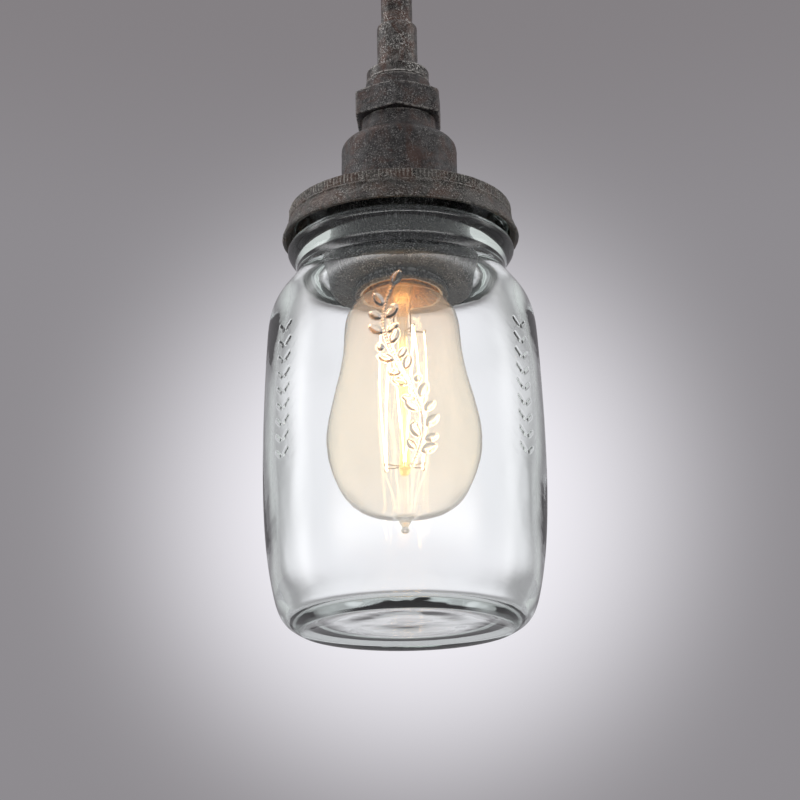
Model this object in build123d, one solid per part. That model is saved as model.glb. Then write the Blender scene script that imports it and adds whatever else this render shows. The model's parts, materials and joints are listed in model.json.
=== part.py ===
"""Mini pendant light: a stem-hung jar shade with its swivel, lampholder and lamp.

Millimetres, +Z up. The origin is the middle of the ceiling box, on the ceiling,
and the pendant hangs below it. Heights of the fittings are built up from the
lid's lower rim, and the stem and the swivel carry that rim at its place.
"""
import math
import os

from build123d import *

os.makedirs("parts", exist_ok=True)

# Overall drop and clearances
STEM_LENGTH = 152.4
THREAD_CLEARANCE = 0.05
RUNNING_CLEARANCE = 0.08
LOOSE_CLEARANCE = 0.3

# Canopy and ceiling strap
CANOPY_RADIUS = 63.5
CANOPY_HEIGHT = 24.0
CANOPY_WALL = 1.2
CANOPY_RIM_HEIGHT = 4.0
CANOPY_FLAT_RADIUS = 44.0
CANOPY_SHOULDER_INSET = 3.0
CANOPY_SHOULDER_SHARE = 0.62
CANOPY_SHOULDER_IN = 0.75
CANOPY_SHOULDER_UP = 0.66
STRAP_LENGTH = 104.0
STRAP_WIDTH = 19.0
STRAP_THICKNESS = 1.6
STRAP_CORNER = 4.75
STRAP_CENTRE_HOLE = 7.0
BOX_SCREW_SPACING = 88.9
BOX_SLOT_LENGTH = 9.0
BOX_SLOT_WIDTH = 4.6
STUD_SPACING = 69.85
STUD_RADIUS = 2.05
STUD_TAIL = 5.0
STUD_NUT_ACROSS = 8.7
STUD_NUT_HEIGHT = 3.2
CAP_NUT_ACROSS = 11.0
CAP_NUT_HEX_HEIGHT = 3.5
CAP_NUT_DOME_RADIUS = 5.0
CAP_NUT_CEILING = 1.5
GROUND_SCREW_X = 17.0
GROUND_SCREW_RADIUS = 2.4
GROUND_HEAD_RADIUS = 4.6
GROUND_HEAD_HEIGHT = 2.4
GROUND_SLOT_WIDTH = 1.0
GROUND_SLOT_DEPTH = 1.1

# Lamp pipe thread used by the nipple and the swivel's shank
PIPE_RADIUS = 5.14
PIPE_BORE = 3.4

# Swivel
SWIVEL_RADIUS = 18.0
SWIVEL_BORE = 16.0
SWIVEL_CAP_HEIGHT = 3.8
SWIVEL_CAP_SPIGOT = 5.2
SWIVEL_CAP_INNER = 14.0
BALL_DEPTH = 18.0
BALL_RADIUS = 13.0
BALL_FLAT_HEIGHT = 9.0
BALL_NECK_RADIUS = 5.5
BALL_NECK_LENGTH = 24.0
BALL_SHOULDER_HEIGHT = 3.0
BALL_SHANK_LENGTH = 10.0
SEAT_MOUTH_RADIUS = 11.3
SEAT_TOP = -1.5
SEAT_BOTTOM = -8.0
CUP_FLOOR = 2.3
CUP_MOUTH_RADIUS = 12.2
CUP_MOUTH_FLARE = 1.2
SHANK_LENGTH = 10.0
LOCKNUT_ACROSS = 15.9
LOCKNUT_HEIGHT = 3.0

# Stem and the stack of fittings
STEM_RADIUS = 6.8
STEM_BORE = 5.25
COUPLING_RADIUS = 8.7
COUPLING_HEIGHT = 22.2
COUPLING_SOCKET_DEPTH = 10.0
COUPLING_CHAMFER = 1.1
COLLAR_RADIUS = 13.4
COLLAR_HEIGHT = 4.8
COLLAR_EDGE = 0.4
BOSS_RADIUS = 13.8
BOSS_HEIGHT = 6.9
BOSS_FLARE = 2.6
BOSS_GROOVE_RADIUS = 12.9
BOSS_GROOVE_HEIGHT = 0.5
HEX_ACROSS_FLATS = 35.6
HEX_HEIGHT = 11.5
HEX_TURN = -3.0
HEX_CHAMFER = 1.3
HEX_CHAMFER_INSET = 0.3
NECK_RADIUS = 15.8
NECK_HEIGHT = 9.7
NECK_EDGE = 1.2
DOME_RADIUS = 24.6
DOME_SHOULDER = 5.0
DOME_HEIGHT = 31.8
DOME_WALL = 2.0
DOME_ROOF = 3.0
NIPPLE_TOP_GAP = 1.0
NIPPLE_TAIL = 0.5
NIPPLE_NUT_ACROSS = 15.9
NIPPLE_NUT_HEIGHT = 3.0

# Lid; heights are above the rim
LID_HEIGHT = 13.6
BAND_RADIUS = 46.9
BAND_BORE = 46.2
BAND_RIM_RADIUS = 49.85
BAND_SKIRT_HEIGHT = 8.0
BAND_BREAK_RADIUS = 48.4
BAND_BREAK_HEIGHT = 4.35
BAND_BEAD_HEIGHT = 8.8
BAND_BEAD_RADIUS = 0.45
BAND_BEAD_SINK = 0.1
BAND_EDGE = 0.5
BAND_LIP_THICKNESS = 0.8
BAND_LIP_BORE = 38.0
BAND_MOUTH_FLARE = 2.2
LID_DISC_THICKNESS = 0.8
LID_DISC_HOLE = 21.0
GASKET_THICKNESS = 2.0
GASKET_INNER = 39.0
GASKET_OUTER = 45.0

# Screw thread between the band and the jar; the band's ridge carries the jar's
JAR_THREAD_PITCH = 5.08
JAR_THREAD_CREST = 1.0
JAR_THREAD_ROOT = 2.0
JAR_THREAD_REACH = 1.5
JAR_THREAD_TURNS = 1.0
JAR_THREAD_LEAD_DEG = -110.0
BAND_THREAD_START = 2.7
BAND_THREAD_TURNS = 1.0
THREAD_EMBED = 0.4

# Jar; heights are above the rim
JAR_NECK_RADIUS = 44.3
JAR_NECK_BORE = 39.9
JAR_WALL = 3.6
JAR_RIM_EDGE = 1.2
JAR_BEAD_TOP = -1.4
JAR_BEAD_RADIUS = 47.5
JAR_BEAD_HEIGHT = -4.6
JAR_NOTCH_RADIUS = 44.2
JAR_NOTCH_HEIGHT = -11.2
JAR_NOTCH_BORE = 40.6
JAR_NOTCH_BORE_HEIGHT = -12.6
JAR_SHOULDER_RADIUS = 50.6
JAR_SHOULDER_HEIGHT = -25.0
JAR_SIDE_TOP_RADIUS = 56.1
JAR_SIDE_TOP = -46.0
JAR_BODY_RADIUS = 57.7
JAR_BODY_MIDDLE = -88.0
JAR_SIDE_LOW_RADIUS = 57.1
JAR_SIDE_LOW = -124.0
JAR_HEEL_RADIUS = 53.6
JAR_HEEL_HEIGHT = -151.0
JAR_FOOT_EDGE_RADIUS = 47.8
JAR_FOOT_EDGE_HEIGHT = -163.6
JAR_FOOT_RADIUS = 43.2
JAR_BOTTOM = -166.2
JAR_PUSH_UP_RADIUS = 36.0
JAR_PUSH_UP = 2.6
JAR_PUSH_UP_EDGE = 1.6
JAR_FLOOR_RADIUS = 45.4
JAR_FLOOR_CORNER = 2.6
JAR_FLOOR = 3.1

# Inner cup round the lampholder
INNER_CUP_RADIUS = 31.0
INNER_CUP_WALL = 1.2
INNER_CUP_DROP = 20.0
INNER_CUP_EDGE = 2.4

# Lampholder: porcelain body, brass shell, sprung contact
SOCKET_RADIUS = 19.4
SOCKET_HEIGHT = 44.8
SOCKET_EDGE = 1.5
SOCKET_SPIGOT_RADIUS = 17.8
SOCKET_SPIGOT_LENGTH = 3.0
SOCKET_MOUTH_WALL = 1.0
SOCKET_RING_RADIUS = 20.4
SOCKET_RING_HEIGHT = 2.2
SOCKET_RING_EDGE = 0.6
SOCKET_SHELL_DEPTH = 29.0
SOCKET_SPRING_BORE = 4.6
SOCKET_SPRING_DEPTH = 8.5
SOCKET_WEB = 3.0
SOCKET_RECESS_RADIUS = 6.0
SHELL_BORE = 13.5
SHELL_WALL = 0.5
SHELL_FLANGE_THICKNESS = 0.8
SHELL_FLANGE_BORE = 8.0
SHELL_FLARE_HEIGHT = 3.2
CONTACT_HEAD_RADIUS = 3.4
CONTACT_HEAD_HEIGHT = 2.0
CONTACT_STEM_RADIUS = 1.5
CONTACT_CAP_RADIUS = 2.8
CONTACT_CAP_HEIGHT = 1.0
CONTACT_TRAVEL = 2.7
SPRING_RADIUS = 2.5
SPRING_WIRE_RADIUS = 0.25
SPRING_TURNS = 3.0

# Bridge from the lampholder to the nipple, and the screws on the lampholder
BRACKET_HALF_SPAN = 11.0
BRACKET_FOOT_LENGTH = 6.5
BRACKET_HEIGHT = 10.6
BRACKET_WIDTH = 14.0
BRACKET_THICKNESS = 1.2
BRACKET_SCREW_RADIUS = 1.5
BRACKET_SCREW_HEAD_RADIUS = 2.3
BRACKET_SCREW_HEAD_HEIGHT = 1.4
BRACKET_SCREW_DEPTH = 7.0
TERMINAL_OFFSET = 12.5
TERMINAL_RADIUS = 1.7
TERMINAL_HEAD_RADIUS = 2.8
TERMINAL_HEAD_HEIGHT = 1.6
TERMINAL_DEPTH = 6.0

# Lamp cap; heights are above the tip contact's end
LAMP_TIP_RISE = 1.5
TIP_CONTACT_RADIUS = 3.0
TIP_CONTACT_HEIGHT = 1.7
TIP_CONTACT_EDGE = 0.6
INSULATOR_TOP_RADIUS = 4.2
INSULATOR_CONE_HEIGHT = 3.8
INSULATOR_SEAT_HEIGHT = 2.5
CAP_RADIUS = 12.4
CAP_WALL = 0.4
CAP_RIM = -27.0
CAP_THREAD_PITCH = 3.629
CAP_THREAD_REACH = 0.75
CAP_THREAD_CREST = 0.7
CAP_THREAD_ROOT = 1.5
CAP_THREAD_START = -24.0
CAP_THREAD_TURNS = 4.0
SHELL_THREAD_TURNS = 4.5

# Lamp glass and what it holds; heights are above the tip contact's end
BULB_WALL = 0.8
BULB_NECK_TOP = -16.5
BULB_COLLAR_RADIUS = 13.0
BULB_FLARE_RADIUS = 14.8
BULB_FLARE_HEIGHT = -30.2
BULB_THROAT_RADIUS = 20.8
BULB_THROAT_HEIGHT = -36.0
BULB_WAIST_RADIUS = 24.9
BULB_WAIST_HEIGHT = -56.7
BULB_SHOULDER_RADIUS = 29.2
BULB_SHOULDER_HEIGHT = -80.2
BULB_MAX_RADIUS = 31.7
BULB_MAX_HEIGHT = -97.7
BULB_BELLY_RADIUS = 27.5
BULB_BELLY_HEIGHT = -113.7
BULB_CROWN_RADIUS = 13.0
BULB_CROWN_HEIGHT = -125.7
BULB_TIP_RADIUS = 2.4
BULB_TIP_HEIGHT = -129.8
BULB_END = -135.3
BULB_COLLAR_LEAN = 0.2
BULB_TIP_LEAN = 0.35
MOUNT_FLARE_TOP = -20.0
MOUNT_FLARE_END = -34.0
MOUNT_ROD_RADIUS = 2.4
MOUNT_ROD_END = -109.0
SUPPORT_WIRE_RADIUS = 0.3
UPPER_SUPPORT_HEIGHT = -49.0
LOWER_SUPPORT_HEIGHT = -107.5
SUPPORT_REACH = 9.0
FILAMENT_RADIUS = 0.2
FILAMENT_LOOPS = 6
STRAND_SHIFT = 0.06
LAMP_LEAD_OFFSET = 3.4
LAMP_LEAD_TOP = -18.5

# Insulated leads and their connectors
LEAD_RADIUS = 1.0
LEAD_OFFSET = 1.5
LEAD_BEND = 3.0
CANOPY_LEAD_BEND = 5.0
CONNECTOR_RADIUS = 6.0
CONNECTOR_TIP_RADIUS = 3.6
CONNECTOR_LENGTH = 17.0
CONNECTOR_WALL = 1.5
CONNECTOR_EDGE = 1.0
CONNECTOR_MOUTH_DEPTH = 4.0
CONNECTOR_OFFSET = 16.0
CONNECTOR_HEIGHT = -10.5

# Heights that follow from the sizes above
CANOPY_FACE = -CANOPY_HEIGHT
BALL_CENTRE = CANOPY_FACE - BALL_DEPTH
STEM_TOP = BALL_CENTRE - BALL_NECK_LENGTH - BALL_SHOULDER_HEIGHT
STEM_BOTTOM = STEM_TOP - STEM_LENGTH
COUPLING_TOP = STEM_BOTTOM + COUPLING_SOCKET_DEPTH
COLLAR_TOP = COUPLING_TOP - COUPLING_HEIGHT
BOSS_TOP = COLLAR_TOP - COLLAR_HEIGHT
HEX_TOP = BOSS_TOP - BOSS_HEIGHT
HEX_BOTTOM = HEX_TOP - HEX_HEIGHT
DOME_TOP = HEX_BOTTOM - NECK_HEIGHT
LID_TOP = DOME_TOP - DOME_HEIGHT
RIM = LID_TOP - LID_HEIGHT
DOME_CEILING = DOME_TOP - DOME_ROOF
DISC_TOP = LID_TOP - BAND_LIP_THICKNESS
DISC_BOTTOM = DISC_TOP - LID_DISC_THICKNESS
JAR_RIM = DISC_BOTTOM - GASKET_THICKNESS
CUP_FLOOR_BOTTOM = RIM - INNER_CUP_DROP
SOCKET_SHOULDER = CUP_FLOOR_BOTTOM + INNER_CUP_WALL
SOCKET_TOP = SOCKET_SHOULDER + SOCKET_HEIGHT
SOCKET_MOUTH = SOCKET_SHOULDER - SOCKET_SPIGOT_LENGTH
SHELL_CEILING = SOCKET_MOUTH + SOCKET_SHELL_DEPTH
WEB_BOTTOM = SHELL_CEILING + SOCKET_SPRING_DEPTH
WEB_TOP = WEB_BOTTOM + SOCKET_WEB
BRACKET_TOP = SOCKET_TOP + BRACKET_HEIGHT
LOWER_NUT_TOP = BRACKET_TOP - BRACKET_THICKNESS
NIPPLE_BOTTOM = LOWER_NUT_TOP - NIPPLE_NUT_HEIGHT - NIPPLE_TAIL
LAMP_TIP = SHELL_CEILING + LAMP_TIP_RISE
CAP_TOP = LAMP_TIP - TIP_CONTACT_HEIGHT - INSULATOR_CONE_HEIGHT

parts = {}


def add(name, shape):
    """Keep a finished piece under its node name."""
    parts[name] = shape


def cylinder(radius, low, high, x=0.0, y=0.0):
    """Upright cylinder between two heights."""
    solid = Cylinder(radius, high - low, align=(Align.CENTER, Align.CENTER, Align.MIN))
    return Pos(x, y, low) * solid


def tube(outer, inner, low, high):
    """Upright tube between two heights."""
    return cylinder(outer, low, high) - cylinder(inner, low - 1, high + 1)


def cone(low_radius, high_radius, low, high, x=0.0, y=0.0):
    """Upright cone frustum between two heights."""
    solid = Cone(low_radius, high_radius, high - low, align=(Align.CENTER, Align.CENTER, Align.MIN))
    return Pos(x, y, low) * solid


def box(size_x, size_y, low, high, x=0.0, y=0.0):
    """Upright block between two heights."""
    solid = Box(size_x, size_y, high - low, align=(Align.CENTER, Align.CENTER, Align.MIN))
    return Pos(x, y, low) * solid


def hexagon(across_flats, low, high, x=0.0, y=0.0, turn=0.0):
    """Upright hexagonal prism between two heights."""
    corner_radius = across_flats / math.sqrt(3)
    sketch = RegularPolygon(corner_radius, 6, rotation=turn)
    return Pos(x, y, low) * extrude(sketch, amount=high - low)


def turned(*edges):
    """Solid turned about the Z axis from a closed outline of (radius, height) edges."""
    face = make_face([Plane.XZ * edge for edge in edges])
    return revolve(face, Axis.Z)


def turned_polygon(points):
    """Solid turned about the Z axis from the corners of its half section."""
    return turned(Polyline(*points, close=True))


def fillet_ring(solid, radius, height, size):
    """Round the circular edge of a turned solid that has this radius and height."""
    picked = []
    for edge in solid.edges().filter_by(GeomType.CIRCLE):
        same_radius = abs(edge.radius - radius) < 0.02
        same_height = abs(edge.arc_center.Z - height) < 0.02
        if same_radius and same_height:
            picked.append(edge)
    return fillet(picked, size)


def thread_ridge(pitch, turns, start_height, start_deg, root_radius, crest_radius, root, crest):
    """Right-hand thread ridge from its root radius to its crest, inwards or outwards."""
    path = Helix(pitch, pitch * turns, root_radius)
    profile = Plane.XZ * Polyline(
        (root_radius, -root / 2),
        (crest_radius, -crest / 2),
        (crest_radius, crest / 2),
        (root_radius, root / 2),
        close=True,
    )
    ridge = sweep(make_face(profile), path=path, is_frenet=True)
    return Pos(0, 0, start_height) * Rot(0, 0, start_deg) * ridge


def wire_along(points, bend, radius):
    """Round wire along straight runs joined by tangent arcs."""
    path = FilletPolyline(*points, radius=bend)
    return sweep((path ^ 0) * Circle(radius), path=path)


def inset(points, wall):
    """Points of a (radius, height) outline moved square to it by one wall."""
    moved = []
    for index, point in enumerate(points):
        before = points[max(index - 1, 0)]
        after = points[min(index + 1, len(points) - 1)]
        along = math.hypot(after[0] - before[0], after[1] - before[1])
        step_in = wall * (before[1] - after[1]) / along
        step_down = wall * (before[0] - after[0]) / along
        moved.append((point[0] - step_in, point[1] - step_down))
    return moved


def make_canopy():
    """Round ceiling cover: short rim, curved side, flat face with three holes."""
    shoulder = (CANOPY_RADIUS - CANOPY_SHOULDER_INSET, -CANOPY_SHOULDER_SHARE * CANOPY_HEIGHT)
    outside = [
        Line((0, CANOPY_FACE), (CANOPY_FLAT_RADIUS, CANOPY_FACE)),
        Spline((CANOPY_FLAT_RADIUS, CANOPY_FACE), shoulder, (CANOPY_RADIUS, -CANOPY_RIM_HEIGHT),
               tangents=[(1, 0), (0, 1)]),
        Line((CANOPY_RADIUS, -CANOPY_RIM_HEIGHT), (CANOPY_RADIUS, 0)),
    ]
    inner_face = CANOPY_FACE + CANOPY_WALL
    inner_radius = CANOPY_RADIUS - CANOPY_WALL
    inner_shoulder = (
        shoulder[0] - CANOPY_SHOULDER_IN * CANOPY_WALL,
        shoulder[1] + CANOPY_SHOULDER_UP * CANOPY_WALL,
    )
    inside = [
        Line((inner_radius, 0), (inner_radius, -CANOPY_RIM_HEIGHT)),
        Spline((inner_radius, -CANOPY_RIM_HEIGHT), inner_shoulder, (CANOPY_FLAT_RADIUS, inner_face),
               tangents=[(0, -1), (-1, 0)]),
        Line((CANOPY_FLAT_RADIUS, inner_face), (0, inner_face)),
    ]
    rim = Line((CANOPY_RADIUS, 0), (inner_radius, 0))
    axis = Line((0, inner_face), (0, CANOPY_FACE))
    shell = turned(*outside, rim, *inside, axis)
    shell -= cylinder(PIPE_RADIUS + LOOSE_CLEARANCE, CANOPY_FACE - 1, inner_face + 1)
    for side in (-1, 1):
        x = side * STUD_SPACING / 2
        shell -= cylinder(STUD_RADIUS + LOOSE_CLEARANCE, CANOPY_FACE - 1, inner_face + 1, x)
    return shell


def make_mounting_strap():
    """Flat crossbar with two box slots, two stud holes and a wire hole."""
    strap = box(STRAP_LENGTH, STRAP_WIDTH, -STRAP_THICKNESS, 0)
    strap = fillet(strap.edges().filter_by(Axis.Z), STRAP_CORNER)
    strap -= cylinder(STRAP_CENTRE_HOLE, -STRAP_THICKNESS - 1, 1)
    strap -= cylinder(GROUND_SCREW_RADIUS, -STRAP_THICKNESS - 1, 1, GROUND_SCREW_X)
    for side in (-1, 1):
        slot = Pos(side * BOX_SCREW_SPACING / 2, 0, 0) * SlotOverall(BOX_SLOT_LENGTH, BOX_SLOT_WIDTH)
        strap -= extrude(slot, amount=STRAP_THICKNESS, dir=(0, 0, -1))
        stud_x = side * STUD_SPACING / 2
        strap -= cylinder(STUD_RADIUS, -STRAP_THICKNESS - 1, 1, stud_x)
    return strap


def stud_pair(make_one):
    """Two of the same fastener, one at each canopy stud."""
    pair = []
    for side in (-1, 1):
        pair.append(make_one(side * STUD_SPACING / 2))
    return Compound(children=pair)


def make_stud(x):
    """Threaded stud from the strap to just inside its cap nut."""
    return cylinder(STUD_RADIUS, CANOPY_FACE - STUD_TAIL, 0, x)


def make_stud_nut(x):
    """Nut that locks a stud under the strap."""
    top = -STRAP_THICKNESS
    nut = hexagon(STUD_NUT_ACROSS, top - STUD_NUT_HEIGHT, top, x)
    return nut - cylinder(STUD_RADIUS + THREAD_CLEARANCE, top - STUD_NUT_HEIGHT - 1, top + 1, x)


def make_cap_nut(x):
    """Domed nut under the canopy, blind at its lower end."""
    hex_low = CANOPY_FACE - CAP_NUT_HEX_HEIGHT
    nut = hexagon(CAP_NUT_ACROSS, hex_low, CANOPY_FACE, x)
    hole_low = CANOPY_FACE - STUD_TAIL - THREAD_CLEARANCE
    dome_low = hole_low - CAP_NUT_CEILING
    dome = Pos(x, 0, dome_low + CAP_NUT_DOME_RADIUS) * Sphere(CAP_NUT_DOME_RADIUS)
    dome &= box(3 * CAP_NUT_ACROSS, 3 * CAP_NUT_ACROSS, dome_low - 1, CANOPY_FACE - 1, x)
    nut += dome
    return nut - cylinder(STUD_RADIUS + THREAD_CLEARANCE, hole_low, CANOPY_FACE + 1, x)


def make_ground_screw():
    """Pan-head screw in the strap, head down."""
    head_top = -STRAP_THICKNESS
    head_low = head_top - GROUND_HEAD_HEIGHT
    screw = cylinder(GROUND_HEAD_RADIUS, head_low, head_top, GROUND_SCREW_X)
    screw += cylinder(GROUND_SCREW_RADIUS - THREAD_CLEARANCE, head_top, 0, GROUND_SCREW_X)
    slot_top = head_low + GROUND_SLOT_DEPTH
    return screw - box(3 * GROUND_HEAD_RADIUS, GROUND_SLOT_WIDTH, head_low - 1, slot_top, GROUND_SCREW_X)


def make_swivel_cap():
    """Upper half of the swivel housing, with the shank that goes up through the canopy."""
    plate_low = CANOPY_FACE - SWIVEL_CAP_HEIGHT
    cap = cylinder(SWIVEL_RADIUS, plate_low, CANOPY_FACE)
    spigot_low = plate_low - SWIVEL_CAP_SPIGOT
    cap += tube(SWIVEL_BORE - THREAD_CLEARANCE, SWIVEL_CAP_INNER, spigot_low, plate_low)
    cap += cylinder(PIPE_RADIUS, CANOPY_FACE, CANOPY_FACE + SHANK_LENGTH)
    return cap - cylinder(PIPE_BORE, plate_low - 1, CANOPY_FACE + SHANK_LENGTH + 1)


def make_swivel_cup():
    """Lower half of the swivel housing, open below for the ball's neck."""
    floor_top = BALL_CENTRE + SEAT_BOTTOM
    floor_low = floor_top - CUP_FLOOR
    top = CANOPY_FACE - SWIVEL_CAP_HEIGHT
    cup = cylinder(SWIVEL_RADIUS, floor_low, top)
    cup -= cylinder(SWIVEL_BORE, floor_top, top + 1)
    cup -= cylinder(CUP_MOUTH_RADIUS, floor_low - 1, floor_top + 1)
    flare_high = floor_low + CUP_MOUTH_FLARE
    cup -= cone(CUP_MOUTH_RADIUS + CUP_MOUTH_FLARE, CUP_MOUTH_RADIUS, floor_low, flare_high)
    return cup


def make_swivel_seat():
    """Ring with a hollowed upper face that carries the ball and turns in the cup."""
    low = BALL_CENTRE + SEAT_BOTTOM
    high = BALL_CENTRE + SEAT_TOP
    ring = tube(SWIVEL_BORE - RUNNING_CLEARANCE, SEAT_MOUTH_RADIUS, low, high)
    return ring - Pos(0, 0, BALL_CENTRE) * Sphere(BALL_RADIUS + RUNNING_CLEARANCE)


def make_swivel_ball():
    """Ball, neck, shoulder and the shank that screws into the stem."""
    ball = Pos(0, 0, BALL_CENTRE) * Sphere(BALL_RADIUS)
    flat = BALL_CENTRE + BALL_FLAT_HEIGHT
    ball &= cylinder(2 * BALL_RADIUS, BALL_CENTRE - 2 * BALL_RADIUS, flat)
    shoulder_top = STEM_TOP + BALL_SHOULDER_HEIGHT
    ball += cylinder(BALL_NECK_RADIUS, shoulder_top, BALL_CENTRE)
    ball += cylinder(STEM_RADIUS, STEM_TOP, shoulder_top)
    shank_low = STEM_TOP - BALL_SHANK_LENGTH
    ball += cylinder(STEM_BORE - THREAD_CLEARANCE, shank_low, STEM_TOP)
    return ball - cylinder(PIPE_BORE, shank_low - 1, flat + 1)


def make_locknut():
    """Nut inside the canopy on the swivel's shank."""
    low = CANOPY_FACE + CANOPY_WALL
    nut = hexagon(LOCKNUT_ACROSS, low, low + LOCKNUT_HEIGHT)
    return nut - cylinder(PIPE_RADIUS + THREAD_CLEARANCE, low - 1, low + LOCKNUT_HEIGHT + 1)


def make_coupling():
    """Sleeve over the foot of the stem, with a rounded upper edge."""
    sleeve = cylinder(COUPLING_RADIUS, COLLAR_TOP, COUPLING_TOP)
    sleeve = fillet_ring(sleeve, COUPLING_RADIUS, COUPLING_TOP, COUPLING_CHAMFER)
    sleeve -= cylinder(STEM_RADIUS + THREAD_CLEARANCE, STEM_BOTTOM, COUPLING_TOP + 1)
    return sleeve - cylinder(PIPE_RADIUS + THREAD_CLEARANCE, COLLAR_TOP - 1, STEM_BOTTOM + 1)


def make_collar_ring():
    """Thick round washer with softened edges."""
    ring = cylinder(COLLAR_RADIUS, BOSS_TOP, COLLAR_TOP)
    ring = fillet_ring(ring, COLLAR_RADIUS, COLLAR_TOP, COLLAR_EDGE)
    ring = fillet_ring(ring, COLLAR_RADIUS, BOSS_TOP, COLLAR_EDGE / 2)
    return ring - cylinder(PIPE_RADIUS + LOOSE_CLEARANCE, BOSS_TOP - 1, COLLAR_TOP + 1)


def make_hex_fitting():
    """Hexagon with a round boss that flares into its upper face and is grooved on top."""
    corner_radius = HEX_ACROSS_FLATS / math.sqrt(3)
    prism = hexagon(HEX_ACROSS_FLATS, HEX_BOTTOM, HEX_TOP, turn=90 + HEX_TURN)
    crown = turned_polygon([
        (0, HEX_BOTTOM - 1),
        (corner_radius + 1, HEX_BOTTOM - 1),
        (corner_radius + 1, HEX_TOP - HEX_CHAMFER),
        (HEX_ACROSS_FLATS / 2 - HEX_CHAMFER_INSET, HEX_TOP),
        (0, HEX_TOP),
    ])
    prism &= crown
    flare_low = (BOSS_RADIUS + BOSS_FLARE, HEX_TOP)
    flare_high = (BOSS_RADIUS, HEX_TOP + BOSS_FLARE)
    groove_low = BOSS_TOP - BOSS_GROOVE_HEIGHT
    boss = turned(
        Line((0, HEX_TOP - 1), (flare_low[0], HEX_TOP - 1)),
        Line((flare_low[0], HEX_TOP - 1), flare_low),
        RadiusArc(flare_low, flare_high, -BOSS_FLARE),
        Line(flare_high, (BOSS_RADIUS, groove_low)),
        Line((BOSS_RADIUS, groove_low), (BOSS_GROOVE_RADIUS, groove_low)),
        Line((BOSS_GROOVE_RADIUS, groove_low), (BOSS_GROOVE_RADIUS, BOSS_TOP)),
        Line((BOSS_GROOVE_RADIUS, BOSS_TOP), (0, BOSS_TOP)),
        Line((0, BOSS_TOP), (0, HEX_TOP - 1)),
    )
    fitting = prism + boss
    return fitting - cylinder(PIPE_RADIUS + LOOSE_CLEARANCE, HEX_BOTTOM - 1, BOSS_TOP + 1)


def make_socket_cup():
    """Domed casting with a short neck on top, open below."""
    shoulder_start = (DOME_RADIUS - DOME_SHOULDER, DOME_TOP)
    shoulder_end = (DOME_RADIUS, DOME_TOP - DOME_SHOULDER)
    inner_radius = DOME_RADIUS - DOME_WALL
    roof = DOME_TOP - DOME_ROOF
    inner_shoulder = DOME_SHOULDER - DOME_WALL
    casting = turned(
        Line((0, HEX_BOTTOM), (NECK_RADIUS, HEX_BOTTOM)),
        Line((NECK_RADIUS, HEX_BOTTOM), (NECK_RADIUS, DOME_TOP)),
        Line((NECK_RADIUS, DOME_TOP), shoulder_start),
        RadiusArc(shoulder_start, shoulder_end, DOME_SHOULDER),
        Line(shoulder_end, (DOME_RADIUS, LID_TOP)),
        Line((DOME_RADIUS, LID_TOP), (inner_radius, LID_TOP)),
        Line((inner_radius, LID_TOP), (inner_radius, roof - inner_shoulder)),
        RadiusArc((inner_radius, roof - inner_shoulder), (inner_radius - inner_shoulder, roof),
                  -inner_shoulder),
        Line((inner_radius - inner_shoulder, roof), (0, roof)),
        Line((0, roof), (0, HEX_BOTTOM)),
    )
    casting = fillet_ring(casting, NECK_RADIUS, DOME_TOP, NECK_EDGE)
    return casting - cylinder(PIPE_RADIUS + LOOSE_CLEARANCE, roof - 1, HEX_BOTTOM + 1)


def make_nipple():
    """Threaded tube from the coupling down to the lampholder's bridge."""
    return tube(PIPE_RADIUS, PIPE_BORE, NIPPLE_BOTTOM, STEM_BOTTOM - NIPPLE_TOP_GAP)


def make_nipple_nuts():
    """Two nuts on the nipple: under the dome's roof and under the bridge."""
    nuts = []
    for top in (DOME_CEILING, LOWER_NUT_TOP):
        low = top - NIPPLE_NUT_HEIGHT
        nut = hexagon(NIPPLE_NUT_ACROSS, low, top)
        nuts.append(nut - cylinder(PIPE_RADIUS + THREAD_CLEARANCE, low - 1, top + 1))
    return Compound(children=nuts)


def make_screw_band():
    """Lid ring: lip on the disc, raised bead, flared skirt and an inner thread ridge."""
    skirt_top = (BAND_RADIUS, RIM + BAND_SKIRT_HEIGHT)
    skirt_break = (BAND_BREAK_RADIUS, RIM + BAND_BREAK_HEIGHT)
    rim_inner = BAND_BORE + BAND_MOUTH_FLARE
    band = turned_polygon([
        (BAND_LIP_BORE, LID_TOP),
        (BAND_RADIUS, LID_TOP),
        skirt_top,
        skirt_break,
        (BAND_RIM_RADIUS, RIM),
        (rim_inner, RIM),
        (BAND_BORE, RIM + BAND_MOUTH_FLARE),
        (BAND_BORE, DISC_TOP),
        (BAND_LIP_BORE, DISC_TOP),
    ])
    band = fillet_ring(band, BAND_RADIUS, LID_TOP, BAND_EDGE)
    bead = Pos(0, 0, RIM + BAND_BEAD_HEIGHT) * Torus(BAND_RADIUS - BAND_BEAD_SINK, BAND_BEAD_RADIUS)
    band += bead - cylinder(BAND_RADIUS - THREAD_EMBED, RIM, LID_TOP)
    ridge = thread_ridge(
        JAR_THREAD_PITCH, BAND_THREAD_TURNS, RIM + BAND_THREAD_START, 0,
        BAND_BORE + THREAD_EMBED, BAND_BORE - JAR_THREAD_REACH, JAR_THREAD_ROOT, JAR_THREAD_CREST,
    )
    return band + ridge


def make_lid_disc():
    """Flat disc under the band's lip, with a hole for the lampholder."""
    return tube(BAND_BORE - LOOSE_CLEARANCE, LID_DISC_HOLE, DISC_BOTTOM, DISC_TOP)


def make_gasket():
    """Flat ring between the disc and the jar's rim."""
    return tube(GASKET_OUTER, GASKET_INNER, JAR_RIM, DISC_BOTTOM)


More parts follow.
